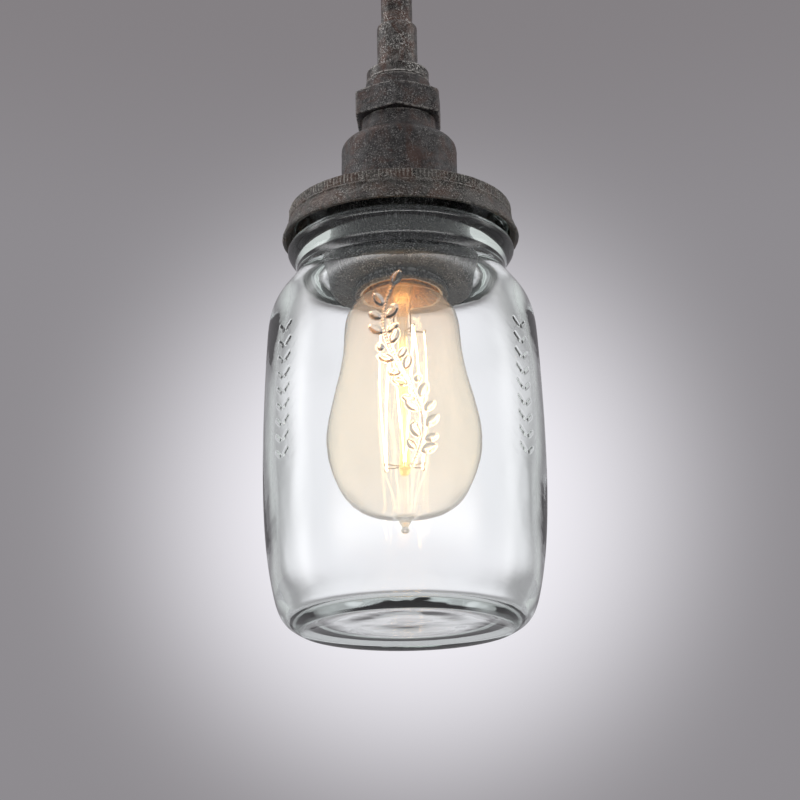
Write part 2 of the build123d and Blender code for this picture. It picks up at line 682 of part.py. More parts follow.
def make_jar():
    """Clear jar: threaded neck, bead, rounded shoulders, near-straight side, heavy foot."""
    bead_top = (JAR_NECK_RADIUS, RIM + JAR_BEAD_TOP)
    side = [
        (JAR_SHOULDER_RADIUS, RIM + JAR_SHOULDER_HEIGHT),
        (JAR_SIDE_TOP_RADIUS, RIM + JAR_SIDE_TOP),
        (JAR_BODY_RADIUS, RIM + JAR_BODY_MIDDLE),
        (JAR_SIDE_LOW_RADIUS, RIM + JAR_SIDE_LOW),
        (JAR_HEEL_RADIUS, RIM + JAR_HEEL_HEIGHT),
    ]
    bead = (JAR_BEAD_RADIUS, RIM + JAR_BEAD_HEIGHT)
    notch = (JAR_NOTCH_RADIUS, RIM + JAR_NOTCH_HEIGHT)
    foot_edge = (JAR_FOOT_EDGE_RADIUS, RIM + JAR_FOOT_EDGE_HEIGHT)
    foot = (JAR_FOOT_RADIUS, RIM + JAR_BOTTOM)
    floor_low = RIM + JAR_BOTTOM + JAR_PUSH_UP
    floor_high = floor_low + JAR_FLOOR
    inner_side = inset(side, JAR_WALL)
    neck_foot = (JAR_NECK_BORE, RIM + JAR_BEAD_HEIGHT)
    inner_notch = (JAR_NOTCH_BORE, RIM + JAR_NOTCH_BORE_HEIGHT)
    floor_edge = (JAR_FLOOR_RADIUS, floor_high)
    outside = [
        Line((JAR_NECK_RADIUS, JAR_RIM), bead_top),
        Spline(bead_top, bead, notch, *side, foot_edge, foot),
        Spline(foot, (JAR_PUSH_UP_RADIUS, RIM + JAR_BOTTOM + JAR_PUSH_UP_EDGE), (0, floor_low),
               tangents=[(-1, 0), (-1, 0)]),
    ]
    inside = [
        Line((0, floor_high), floor_edge),
        Spline(floor_edge, *reversed(inner_side), inner_notch, neck_foot),
        Line(neck_foot, (JAR_NECK_BORE, JAR_RIM)),
    ]
    rim = Line((JAR_NECK_BORE, JAR_RIM), (JAR_NECK_RADIUS, JAR_RIM))
    axis = Line((0, floor_low), (0, floor_high))
    jar = turned(*outside, axis, *inside, rim)
    jar = fillet_ring(jar, JAR_NECK_RADIUS, JAR_RIM, JAR_RIM_EDGE)
    jar = fillet_ring(jar, JAR_NECK_BORE, JAR_RIM, JAR_RIM_EDGE)
    jar = fillet_ring(jar, JAR_FLOOR_RADIUS, floor_high, JAR_FLOOR_CORNER)
    lead = JAR_THREAD_LEAD_DEG / 360
    start = RIM + BAND_THREAD_START + (0.5 + lead) * JAR_THREAD_PITCH
    ridge = thread_ridge(
        JAR_THREAD_PITCH, JAR_THREAD_TURNS, start, JAR_THREAD_LEAD_DEG,
        JAR_NECK_RADIUS - THREAD_EMBED, JAR_NECK_RADIUS + JAR_THREAD_REACH,
        JAR_THREAD_ROOT, JAR_THREAD_CREST,
    )
    return jar + ridge


def make_inner_cup():
    """Round pan from the lid disc down to the lampholder's mouth."""
    cup = cylinder(INNER_CUP_RADIUS, CUP_FLOOR_BOTTOM, DISC_BOTTOM)
    cup = fillet_ring(cup, INNER_CUP_RADIUS, CUP_FLOOR_BOTTOM, INNER_CUP_EDGE)
    inside = cylinder(INNER_CUP_RADIUS - INNER_CUP_WALL, SOCKET_SHOULDER, DISC_BOTTOM)
    inner_radius = INNER_CUP_RADIUS - INNER_CUP_WALL
    inside = fillet_ring(inside, inner_radius, SOCKET_SHOULDER, INNER_CUP_EDGE - INNER_CUP_WALL)
    cup -= inside
    return cup - cylinder(SOCKET_SPIGOT_RADIUS + LOOSE_CLEARANCE, CUP_FLOOR_BOTTOM - 1, SOCKET_SHOULDER + 1)


def make_socket_body():
    """Porcelain lampholder: threaded mouth, shell bore, spring bore and top recess."""
    body = cylinder(SOCKET_RADIUS, SOCKET_SHOULDER, SOCKET_TOP)
    body = fillet_ring(body, SOCKET_RADIUS, SOCKET_TOP, SOCKET_EDGE)
    body += cylinder(SOCKET_SPIGOT_RADIUS, SOCKET_MOUTH, SOCKET_SHOULDER)
    shell_radius = SHELL_BORE + SHELL_WALL + LOOSE_CLEARANCE
    mouth_radius = SOCKET_SPIGOT_RADIUS - SOCKET_MOUTH_WALL
    body -= cylinder(shell_radius, SOCKET_MOUTH - 1, SHELL_CEILING)
    body -= cone(mouth_radius, shell_radius, SOCKET_MOUTH, SOCKET_MOUTH + SHELL_FLARE_HEIGHT)
    body -= cylinder(SOCKET_SPRING_BORE, SHELL_CEILING - 1, WEB_BOTTOM)
    body -= cylinder(CONTACT_STEM_RADIUS + RUNNING_CLEARANCE, WEB_BOTTOM - 1, WEB_TOP + 1)
    body -= cylinder(SOCKET_RECESS_RADIUS, WEB_TOP, SOCKET_TOP + 1)
    bracket_x = BRACKET_HALF_SPAN + BRACKET_FOOT_LENGTH / 2
    for side in (-1, 1):
        low = SOCKET_TOP - BRACKET_SCREW_DEPTH
        body -= cylinder(BRACKET_SCREW_RADIUS, low, SOCKET_TOP + 1, side * bracket_x)
        low = SOCKET_TOP - TERMINAL_DEPTH
        body -= cylinder(TERMINAL_RADIUS, low, SOCKET_TOP + 1, 0, side * TERMINAL_OFFSET)
    return body


def make_socket_ring():
    """Ring screwed on the lampholder's mouth, under the inner cup."""
    low = CUP_FLOOR_BOTTOM - SOCKET_RING_HEIGHT
    bore = SOCKET_SPIGOT_RADIUS + THREAD_CLEARANCE
    ring = tube(SOCKET_RING_RADIUS, bore, low, CUP_FLOOR_BOTTOM)
    return fillet_ring(ring, SOCKET_RING_RADIUS, low, SOCKET_RING_EDGE)


def make_screw_shell():
    """Brass shell with the lamp's thread, and a flange against the porcelain."""
    outer = SHELL_BORE + SHELL_WALL
    flange_low = SHELL_CEILING - SHELL_FLANGE_THICKNESS
    flare_top = SOCKET_MOUTH + SHELL_FLARE_HEIGHT
    lip = SOCKET_SPIGOT_RADIUS - SOCKET_MOUTH_WALL - LOOSE_CLEARANCE
    shell = turned_polygon([
        (lip - SHELL_WALL, SOCKET_MOUTH),
        (lip, SOCKET_MOUTH),
        (outer, flare_top),
        (outer, SHELL_CEILING),
        (SHELL_FLANGE_BORE, SHELL_CEILING),
        (SHELL_FLANGE_BORE, flange_low),
        (SHELL_BORE, flange_low),
        (SHELL_BORE, flare_top),
    ])
    start = LAMP_TIP + CAP_THREAD_START - CAP_THREAD_PITCH / 2
    return shell + thread_ridge(
        CAP_THREAD_PITCH, SHELL_THREAD_TURNS, start, 0,
        SHELL_BORE + SHELL_WALL / 2, SHELL_BORE - CAP_THREAD_REACH, CAP_THREAD_ROOT, CAP_THREAD_CREST,
    )


def make_centre_contact():
    """Plunger: head on the lamp's tip, stem through the web, cap above it."""
    head_top = LAMP_TIP + CONTACT_HEAD_HEIGHT
    cap_low = WEB_TOP + CONTACT_TRAVEL
    plunger = cylinder(CONTACT_HEAD_RADIUS, LAMP_TIP, head_top)
    plunger += cylinder(CONTACT_STEM_RADIUS, head_top, cap_low)
    return plunger + cylinder(CONTACT_CAP_RADIUS, cap_low, cap_low + CONTACT_CAP_HEIGHT)


def make_contact_spring():
    """Coil round the plunger's stem, between its head and the web."""
    low = LAMP_TIP + CONTACT_HEAD_HEIGHT + SPRING_WIRE_RADIUS
    high = WEB_BOTTOM - SPRING_WIRE_RADIUS
    path = Helix((high - low) / SPRING_TURNS, high - low, SPRING_RADIUS)
    gap = (high - low) / SPRING_TURNS - 2 * SPRING_WIRE_RADIUS
    print("contact spring: gap between turns", round(gap, 2), "mm")
    coil = sweep((path ^ 0) * Circle(SPRING_WIRE_RADIUS), path=path, is_frenet=True)
    return Pos(0, 0, low) * coil


def make_bracket():
    """Steel bridge: feet on the lampholder, legs, and a plate on the nipple."""
    bridge = box(2 * BRACKET_HALF_SPAN, BRACKET_WIDTH, SOCKET_TOP, BRACKET_TOP)
    inner_span = 2 * (BRACKET_HALF_SPAN - BRACKET_THICKNESS)
    bridge -= box(inner_span, 2 * BRACKET_WIDTH, SOCKET_TOP - 1, BRACKET_TOP - BRACKET_THICKNESS)
    bridge -= cylinder(PIPE_RADIUS + THREAD_CLEARANCE, SOCKET_TOP, BRACKET_TOP + 1)
    screw_x = BRACKET_HALF_SPAN + BRACKET_FOOT_LENGTH / 2
    foot_top = SOCKET_TOP + BRACKET_THICKNESS
    for side in (-1, 1):
        foot_x = side * screw_x
        bridge += box(BRACKET_FOOT_LENGTH, BRACKET_WIDTH, SOCKET_TOP, foot_top, foot_x)
        bridge -= cylinder(BRACKET_SCREW_RADIUS + THREAD_CLEARANCE, SOCKET_TOP - 1, foot_top + 1, foot_x)
    return bridge


def make_bracket_screws():
    """Two screws that hold the bridge to the lampholder."""
    screws = []
    head_low = SOCKET_TOP + BRACKET_THICKNESS
    for side in (-1, 1):
        x = side * (BRACKET_HALF_SPAN + BRACKET_FOOT_LENGTH / 2)
        screw = cylinder(BRACKET_SCREW_RADIUS, SOCKET_TOP - BRACKET_SCREW_DEPTH, head_low, x)
        screw += cylinder(BRACKET_SCREW_HEAD_RADIUS, head_low, head_low + BRACKET_SCREW_HEAD_HEIGHT, x)
        screws.append(screw)
    return Compound(children=screws)


def make_terminal_screws():
    """Two screws on top of the lampholder that take the leads."""
    screws = []
    for side in (-1, 1):
        y = side * TERMINAL_OFFSET
        screw = cylinder(TERMINAL_RADIUS, SOCKET_TOP - TERMINAL_DEPTH, SOCKET_TOP, 0, y)
        screw += cylinder(TERMINAL_HEAD_RADIUS, SOCKET_TOP, SOCKET_TOP + TERMINAL_HEAD_HEIGHT, 0, y)
        screws.append(screw)
    return Compound(children=screws)


def make_lead_wires():
    """Two insulated leads from the ball, down the stem and nipple, to the terminals."""
    wires = []
    top = BALL_CENTRE + BALL_FLAT_HEIGHT + LOOSE_CLEARANCE
    bend_height = NIPPLE_BOTTOM - LEAD_RADIUS
    lay_height = SOCKET_TOP + LEAD_RADIUS
    end = TERMINAL_OFFSET - TERMINAL_HEAD_RADIUS
    for side in (-1, 1):
        points = [
            (0, side * LEAD_OFFSET, top),
            (0, side * LEAD_OFFSET, bend_height),
            (0, side * end / 2, lay_height),
            (0, side * end, lay_height),
        ]
        wires.append(wire_along(points, LEAD_BEND, LEAD_RADIUS))
    return Compound(children=wires)


def make_canopy_leads():
    """Two leads from the swivel's shank out to the connectors in the canopy."""
    wires = []
    low = CANOPY_FACE - SWIVEL_CAP_HEIGHT
    for side in (-1, 1):
        points = [
            (0, side * LEAD_OFFSET, low),
            (0, side * LEAD_OFFSET, CONNECTOR_HEIGHT),
            (0, side * (CONNECTOR_OFFSET + CONNECTOR_MOUTH_DEPTH), CONNECTOR_HEIGHT),
        ]
        wires.append(wire_along(points, CANOPY_LEAD_BEND, LEAD_RADIUS))
    return Compound(children=wires)


def make_wire_connectors():
    """Two twist-on connectors lying in the canopy."""
    connectors = []
    for side in (-1, 1):
        body = cone(CONNECTOR_RADIUS, CONNECTOR_TIP_RADIUS, 0, CONNECTOR_LENGTH)
        body = fillet_ring(body, CONNECTOR_TIP_RADIUS, CONNECTOR_LENGTH, CONNECTOR_EDGE)
        body -= cone(CONNECTOR_RADIUS - CONNECTOR_WALL, LEAD_RADIUS, 0, CONNECTOR_MOUTH_DEPTH)
        laid = Pos(0, side * CONNECTOR_OFFSET, CONNECTOR_HEIGHT) * Rot(-side * 90, 0, 0) * body
        connectors.append(laid)
    return Compound(children=connectors)


def make_bulb_cap():
    """Screw cap of the lamp: thin shell with a rolled thread."""
    rim = LAMP_TIP + CAP_RIM
    cap = tube(CAP_RADIUS, CAP_RADIUS - CAP_WALL, rim, CAP_TOP)
    return cap + thread_ridge(
        CAP_THREAD_PITCH, CAP_THREAD_TURNS, LAMP_TIP + CAP_THREAD_START, 0,
        CAP_RADIUS - CAP_WALL / 2, CAP_RADIUS + CAP_THREAD_REACH, CAP_THREAD_ROOT, CAP_THREAD_CREST,
    )


def make_bulb_insulator():
    """Black glass cone between the cap and the tip contact."""
    seat_radius = CAP_RADIUS - CAP_WALL - THREAD_CLEARANCE
    seat_low = CAP_TOP - INSULATOR_SEAT_HEIGHT
    cone_top = CAP_TOP + INSULATOR_CONE_HEIGHT
    insulator = cylinder(seat_radius, seat_low, CAP_TOP)
    return insulator + cone(seat_radius, INSULATOR_TOP_RADIUS, CAP_TOP, cone_top)


def make_bulb_tip():
    """Solder button on the insulator."""
    button = cylinder(TIP_CONTACT_RADIUS, LAMP_TIP - TIP_CONTACT_HEIGHT, LAMP_TIP)
    return fillet_ring(button, TIP_CONTACT_RADIUS, LAMP_TIP, TIP_CONTACT_EDGE)


def make_bulb_envelope():
    """Thin tapered glass with a drawn tip."""
    neck_radius = CAP_RADIUS - CAP_WALL - LOOSE_CLEARANCE
    neck_top = LAMP_TIP + BULB_NECK_TOP
    rim = LAMP_TIP + CAP_RIM
    inner_neck = neck_radius - BULB_WALL
    collar = (BULB_COLLAR_RADIUS, rim - LOOSE_CLEARANCE)
    flank = [
        (BULB_FLARE_RADIUS, LAMP_TIP + BULB_FLARE_HEIGHT),
        (BULB_THROAT_RADIUS, LAMP_TIP + BULB_THROAT_HEIGHT),
        (BULB_WAIST_RADIUS, LAMP_TIP + BULB_WAIST_HEIGHT),
        (BULB_SHOULDER_RADIUS, LAMP_TIP + BULB_SHOULDER_HEIGHT),
        (BULB_MAX_RADIUS, LAMP_TIP + BULB_MAX_HEIGHT),
        (BULB_BELLY_RADIUS, LAMP_TIP + BULB_BELLY_HEIGHT),
        (BULB_CROWN_RADIUS, LAMP_TIP + BULB_CROWN_HEIGHT),
    ]
    tip = (BULB_TIP_RADIUS, LAMP_TIP + BULB_TIP_HEIGHT)
    end = (0, LAMP_TIP + BULB_END)
    inner_flank = inset([collar] + flank + [tip], BULB_WALL)
    inner_end = (0, LAMP_TIP + BULB_TIP_HEIGHT)
    inner_start = (inner_neck, inner_flank[0][1])
    glass = turned(
        Line((neck_radius, neck_top), (neck_radius, collar[1])),
        Line((neck_radius, collar[1]), collar),
        Spline(collar, *flank, tip, tangents=[(BULB_COLLAR_LEAN, -1), (-BULB_TIP_LEAN, -1)]),
        Spline(tip, end, tangents=[(-BULB_TIP_LEAN, -1), (-1, 0)]),
        Line(end, inner_end),
        Spline(inner_end, *reversed(inner_flank[1:-1]), inner_start,
               tangents=[(1, 0), (-BULB_COLLAR_LEAN, 1)]),
        Line(inner_start, (inner_neck, neck_top)),
        Line((inner_neck, neck_top), (neck_radius, neck_top)),
    )
    return glass


def make_bulb_stem():
    """Glass mount: flare in the neck, then a rod down the middle."""
    flare_top = LAMP_TIP + MOUNT_FLARE_TOP
    flare_end = LAMP_TIP + MOUNT_FLARE_END
    rod_end = LAMP_TIP + MOUNT_ROD_END
    neck_bore = CAP_RADIUS - CAP_WALL - LOOSE_CLEARANCE - BULB_WALL
    mount = cone(MOUNT_ROD_RADIUS, neck_bore - LOOSE_CLEARANCE, flare_end, flare_top)
    mount += cylinder(MOUNT_ROD_RADIUS, rod_end, flare_end)
    mount += Pos(0, 0, rod_end) * Sphere(MOUNT_ROD_RADIUS)
    for side in (-1, 1):
        x = side * LAMP_LEAD_OFFSET
        mount -= cylinder(SUPPORT_WIRE_RADIUS + THREAD_CLEARANCE, flare_end - 1, flare_top + 1, x)
    return mount


def rod_between(start, end, radius):
    """Straight round wire from one point to another."""
    path = Line(start, end)
    return sweep((path ^ 0) * Circle(radius), path=path)


def hook_point(height, half_steps):
    """Place of one filament hook: half steps round the ring, at one height."""
    angle = math.radians(half_steps * 180 / FILAMENT_LOOPS)
    return (SUPPORT_REACH * math.cos(angle), SUPPORT_REACH * math.sin(angle), LAMP_TIP + height)


def make_filament_supports():
    """Two rings of fine spokes out of the glass rod."""
    wires = []
    for index in range(FILAMENT_LOOPS):
        for height, half_step in ((UPPER_SUPPORT_HEIGHT, 0), (LOWER_SUPPORT_HEIGHT, 1)):
            tip = hook_point(height, 2 * index + half_step)
            share = MOUNT_ROD_RADIUS / SUPPORT_REACH
            root = (share * tip[0], share * tip[1], tip[2])
            wires.append(rod_between(root, tip, SUPPORT_WIRE_RADIUS))
    return Compound(children=wires)


def make_bulb_lead_wires():
    """Two wires from the cap, through the flare, down to the upper spokes."""
    wires = []
    for side in (-1, 1):
        low = LAMP_TIP + UPPER_SUPPORT_HEIGHT + SUPPORT_WIRE_RADIUS
        high = LAMP_TIP + LAMP_LEAD_TOP
        wires.append(cylinder(SUPPORT_WIRE_RADIUS, low, high, side * LAMP_LEAD_OFFSET))
    return Compound(children=wires)


def make_filament():
    """Long strands that zigzag between the upper and the lower hooks."""
    seat = SUPPORT_WIRE_RADIUS + FILAMENT_RADIUS
    upper = UPPER_SUPPORT_HEIGHT - seat
    lower = LOWER_SUPPORT_HEIGHT + seat
    strands = []
    for step in range(2 * FILAMENT_LOOPS - 1):
        start_height, end_height = (upper, lower) if step % 2 == 0 else (lower, upper)
        start = hook_point(start_height, step + STRAND_SHIFT)
        end = hook_point(end_height, step + 1 - STRAND_SHIFT)
        strands.append(rod_between(start, end, FILAMENT_RADIUS))
    return Compound(children=strands)


# Ceiling mount
add("canopy", make_canopy())
add("mounting_strap", make_mounting_strap())
add("canopy_studs", stud_pair(make_stud))
add("stud_nuts", stud_pair(make_stud_nut))
add("cap_nuts", stud_pair(make_cap_nut))
add("ground_screw", make_ground_screw())
add("swivel_cap", make_swivel_cap())
add("swivel_cup", make_swivel_cup())
add("swivel_locknut", make_locknut())
add("canopy_leads", make_canopy_leads())
add("wire_connectors", make_wire_connectors())

# Swivel and the hanging stack
add("swivel_seat", make_swivel_seat())
add("swivel_ball", make_swivel_ball())
add("stem_tube", tube(STEM_RADIUS, STEM_BORE, STEM_BOTTOM, STEM_TOP))
add("stem_coupling", make_coupling())
add("collar_ring", make_collar_ring())
add("hex_fitting", make_hex_fitting())
add("socket_cup", make_socket_cup())
add("threaded_nipple", make_nipple())
add("nipple_nuts", make_nipple_nuts())
add("lead_wires", make_lead_wires())

# Lampholder
add("socket_bracket", make_bracket())
add("bracket_screws", make_bracket_screws())
add("socket_body", make_socket_body())
add("terminal_screws", make_terminal_screws())
add("screw_shell", make_screw_shell())
add("centre_contact", make_centre_contact())
add("contact_spring", make_contact_spring())
add("socket_ring", make_socket_ring())
add("inner_cup", make_inner_cup())

# Lid and jar
add("lid_disc", make_lid_disc())
add("jar_gasket", make_gasket())
add("screw_band", make_screw_band())
add("glass_jar", make_jar())

# Lamp
add("bulb_cap", make_bulb_cap())
add("bulb_insulator", make_bulb_insulator())
add("bulb_tip_contact", make_bulb_tip())
add("bulb_envelope", make_bulb_envelope())
add("bulb_stem", make_bulb_stem())
add("bulb_lead_wires", make_bulb_lead_wires())
add("filament_supports", make_filament_supports())
add("filament", make_filament())

for name, shape in parts.items():
    shape.label = name
    export_step(shape, f"parts/{name}.step")
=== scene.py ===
"""Looks of the mini pendant light: jar glass, lamp, cast fittings and the studio round them.

Sizes are in millimetres up to the moment a mesh is made, and heights of the jar, the lid
and the lamp count from the lid's lower rim, as they do in the part.
"""

import json
import math

import bmesh
import bpy
import numpy as np
from mathutils import Matrix, Vector, noise

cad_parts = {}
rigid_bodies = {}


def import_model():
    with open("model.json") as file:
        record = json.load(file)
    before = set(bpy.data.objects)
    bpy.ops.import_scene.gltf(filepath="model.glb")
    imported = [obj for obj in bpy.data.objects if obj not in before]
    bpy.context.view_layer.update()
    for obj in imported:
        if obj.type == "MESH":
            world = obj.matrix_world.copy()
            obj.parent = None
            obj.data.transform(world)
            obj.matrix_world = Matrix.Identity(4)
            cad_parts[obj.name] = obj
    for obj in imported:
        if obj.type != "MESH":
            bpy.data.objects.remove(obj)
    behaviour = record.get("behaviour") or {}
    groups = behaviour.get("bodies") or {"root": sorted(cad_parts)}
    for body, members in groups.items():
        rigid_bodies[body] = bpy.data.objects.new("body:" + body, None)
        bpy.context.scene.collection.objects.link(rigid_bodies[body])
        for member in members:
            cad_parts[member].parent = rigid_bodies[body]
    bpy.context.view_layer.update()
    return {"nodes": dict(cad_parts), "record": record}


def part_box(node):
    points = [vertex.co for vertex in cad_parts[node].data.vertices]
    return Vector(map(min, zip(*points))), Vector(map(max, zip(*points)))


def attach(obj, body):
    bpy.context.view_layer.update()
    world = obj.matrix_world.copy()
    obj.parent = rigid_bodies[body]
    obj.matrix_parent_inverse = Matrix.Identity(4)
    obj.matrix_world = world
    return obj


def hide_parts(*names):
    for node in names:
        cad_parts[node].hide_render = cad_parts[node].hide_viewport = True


for leftover in list(bpy.data.objects):
    bpy.data.objects.remove(leftover, do_unlink=True)

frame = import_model()

MM = 0.001
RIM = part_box("screw_band")[0].z / MM
STEM_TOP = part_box("stem_tube")[1].z / MM
STEM_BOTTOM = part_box("stem_tube")[0].z / MM
COUPLING_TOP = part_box("stem_coupling")[1].z / MM
COLLAR_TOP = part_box("collar_ring")[1].z / MM
BOSS_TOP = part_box("hex_fitting")[1].z / MM
HEX_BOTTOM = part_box("hex_fitting")[0].z / MM
LID_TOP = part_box("screw_band")[1].z / MM
LAMP_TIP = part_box("bulb_tip_contact")[1].z / MM
SWIVEL_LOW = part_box("swivel_cup")[0].z / MM
SWIVEL_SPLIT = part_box("swivel_cup")[1].z / MM
CANOPY_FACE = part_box("canopy")[0].z / MM


def lamp(height):
    """Height of a place on the lamp that is given from its tip contact's end."""
    return LAMP_TIP + height


# Outlines and meshes

def smooth_run(knots, spacing, start=None, end=None):
    """Points about one spacing apart on a smooth curve through the knots; start and end
    are the directions it leaves and arrives in."""
    knots = np.array(knots, dtype=float)
    gaps = np.hypot(*np.diff(knots, axis=0).T)
    place = np.concatenate([[0.0], np.cumsum(gaps)])
    count = len(knots)
    system = np.zeros((count, count))
    right = np.zeros((count, 2))
    for i in range(1, count - 1):
        system[i, i - 1] = gaps[i]
        system[i, i] = 2.0 * (gaps[i - 1] + gaps[i])
        system[i, i + 1] = gaps[i - 1]
        before = (knots[i] - knots[i - 1]) / gaps[i - 1]
        after = (knots[i + 1] - knots[i]) / gaps[i]
        right[i] = 3.0 * (gaps[i] * before + gaps[i - 1] * after)
    for row, beside, gap, given in ((0, 1, gaps[0], start), (count - 1, count - 2, gaps[-1], end)):
        system[row, row] = 1.0
        if given is not None:
            right[row] = np.array(given, dtype=float) / math.hypot(*given)
        else:
            system[row, row] = 2.0
            system[row, beside] = 1.0
            first, second = min(row, beside), max(row, beside)
            right[row] = 3.0 * (knots[second] - knots[first]) / gap
    slopes = np.linalg.solve(system, right)
    steps = max(2, int(round(place[-1] / spacing)))
    points = []
    for value in np.linspace(0.0, place[-1], steps + 1):
        i = min(int(np.searchsorted(place, value, side="right")) - 1, count - 2)
        t = (value - place[i]) / gaps[i]
        h00 = 2 * t ** 3 - 3 * t ** 2 + 1
        h10 = t ** 3 - 2 * t ** 2 + t
        h01 = -2 * t ** 3 + 3 * t ** 2
        h11 = t ** 3 - t ** 2
        point = (h00 * knots[i] + h10 * gaps[i] * slopes[i]
                 + h01 * knots[i + 1] + h11 * gaps[i] * slopes[i + 1])
        points.append((float(point[0]), float(point[1])))
    return points


def straight_run(start, end, spacing, hold=0.2):
    """Points on a straight run, both ends left out, with one held close to each end."""
    length = math.hypot(end[0] - start[0], end[1] - start[1])
    shares = []
    if length > 4 * hold:
        count = max(1, int(length / spacing))
        shares = [hold / length] + [i / count for i in range(1, count)] + [1 - hold / length]
    elif length > hold:
        shares = [0.5]
    shares = sorted(set(round(share, 6) for share in shares))
    return [(start[0] + s * (end[0] - start[0]), start[1] + s * (end[1] - start[1])) for s in shares]


def rounded_ring(corners, spacing, steps=6):
    """Closed outline from (radius, height, rounding) corners, each corner an arc."""
    arcs = []
    count = len(corners)
    for i in range(count):
        here = Vector(corners[i][:2])
        before = Vector(corners[i - 1][:2])
        after = Vector(corners[(i + 1) % count][:2])
        size = corners[i][2]
        if size <= 0:
            arcs.append([tuple(here)])
            continue
        back = (before - here).normalized()
        on = (after - here).normalized()
        half = math.acos(max(-1.0, min(1.0, back.dot(on)))) / 2
        reach = size / math.tan(half)
        middle = here + (back + on).normalized() * (size / math.sin(half))
        first = here + back * reach - middle
        last = here + on * reach - middle
        turn = math.atan2(first.x * last.y - first.y * last.x, first.dot(last))
        arc = []
        for step in range(steps + 1):
            angle = turn * step / steps
            x = first.x * math.cos(angle) - first.y * math.sin(angle)
            y = first.x * math.sin(angle) + first.y * math.cos(angle)
            arc.append((middle.x + x, middle.y + y))
        arcs.append(arc)
    outline = []
    for i in range(count):
        outline += arcs[i]
        outline += straight_run(arcs[i][-1], arcs[(i + 1) % count][0], spacing)
    return outline


def signed_volume(verts, faces):
    """Volume of a closed mesh, below zero where its faces point inwards."""
    total = 0.0
    for face in faces:
        a = verts[face[0]]
        for i in range(1, len(face) - 1):
            total += a.dot(verts[face[i]].cross(verts[face[i + 1]]))
    return total / 6.0


def mesh_object(name, verts, faces, finish, scale=MM):
    """Smooth mesh object at the origin, its faces pointing outwards."""
    verts = [Vector(v) for v in verts]
    if signed_volume(verts, faces) < 0:
        faces = [tuple(reversed(face)) for face in faces]
    mesh = bpy.data.meshes.new(name)
    mesh.from_pydata([v * scale for v in verts], [], faces)
    mesh.polygons.foreach_set("use_smooth", [True] * len(mesh.polygons))
    mesh.materials.append(finish)
    mesh.update()
    obj = bpy.data.objects.new(name, mesh)
    bpy.context.scene.collection.objects.link(obj)
    return obj


def turned(outline, columns, closed=True, shape=None):
    """Vertices and faces turned about Z from a (radius, height) outline; shape(angle, row,
    radius, height) may move a point."""
    verts = []
    rows = []
    for row, (radius, height) in enumerate(outline):
        if radius < 1e-6:
            rows.append([len(verts)])
            verts.append(Vector((0.0, 0.0, height)))
            continue
        ring = []
        for column in range(columns):
            angle = 2 * math.pi * column / columns
            r, z = shape(angle, row, radius, height) if shape else (radius, height)
            ring.append(len(verts))
            verts.append(Vector((r * math.cos(angle), r * math.sin(angle), z)))
        rows.append(ring)
    faces = []
    pairs = list(zip(rows, rows[1:]))
    if closed:
        pairs.append((rows[-1], rows[0]))
    for low, high in pairs:
        for column in range(columns):
            after = (column + 1) % columns
            if len(low) == 1:
                faces.append((low[0], high[after], high[column]))
            elif len(high) == 1:
                faces.append((low[column], low[after], high[0]))
            else:
                faces.append((low[column], low[after], high[after], high[column]))
    return verts, faces


def cast_skin(verts, amount, size, seed=0.0):
    """Uneven skin of a casting: points moved a little to and from the axis and up and down."""
    moved = []
    for v in verts:
        place = v / size + Vector((seed, seed, seed))
        out = noise.fractal(place, 0.8, 2.1, 3)
        up = noise.noise(place * 1.7 + Vector((9.1, 3.3, 5.7)))
        flat = Vector((v.x, v.y, 0.0))
        side = flat.normalized() if flat.length > 1e-6 else Vector((0, 0, 0))
        moved.append(v + side * (amount * out) + Vector((0, 0, 0.5 * amount * up)))
    return moved


def soft_least(a, b, blend):
    """The smaller of two values, with a rounded change from one to the other."""
    mix = max(blend - abs(a - b), 0.0) / blend
    return min(a, b) - mix * mix * blend / 4


def settled(piece, body, slot_name, *nodes):
    """Let a finished piece ride and stand for its nodes; slot_name is not used."""
    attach(piece, body)
    if nodes:
        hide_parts(*nodes)
    return piece


# Finishes

def paint(red, green, blue):
    """Colour given as it looks on screen, 0 to 255, as the shader wants it."""
    result = []
    for value in (red, green, blue):
        value = value / 255
        result.append(value / 12.92 if value <= 0.04045 else ((value + 0.055) / 1.055) ** 2.4)
    return (*result, 1.0)


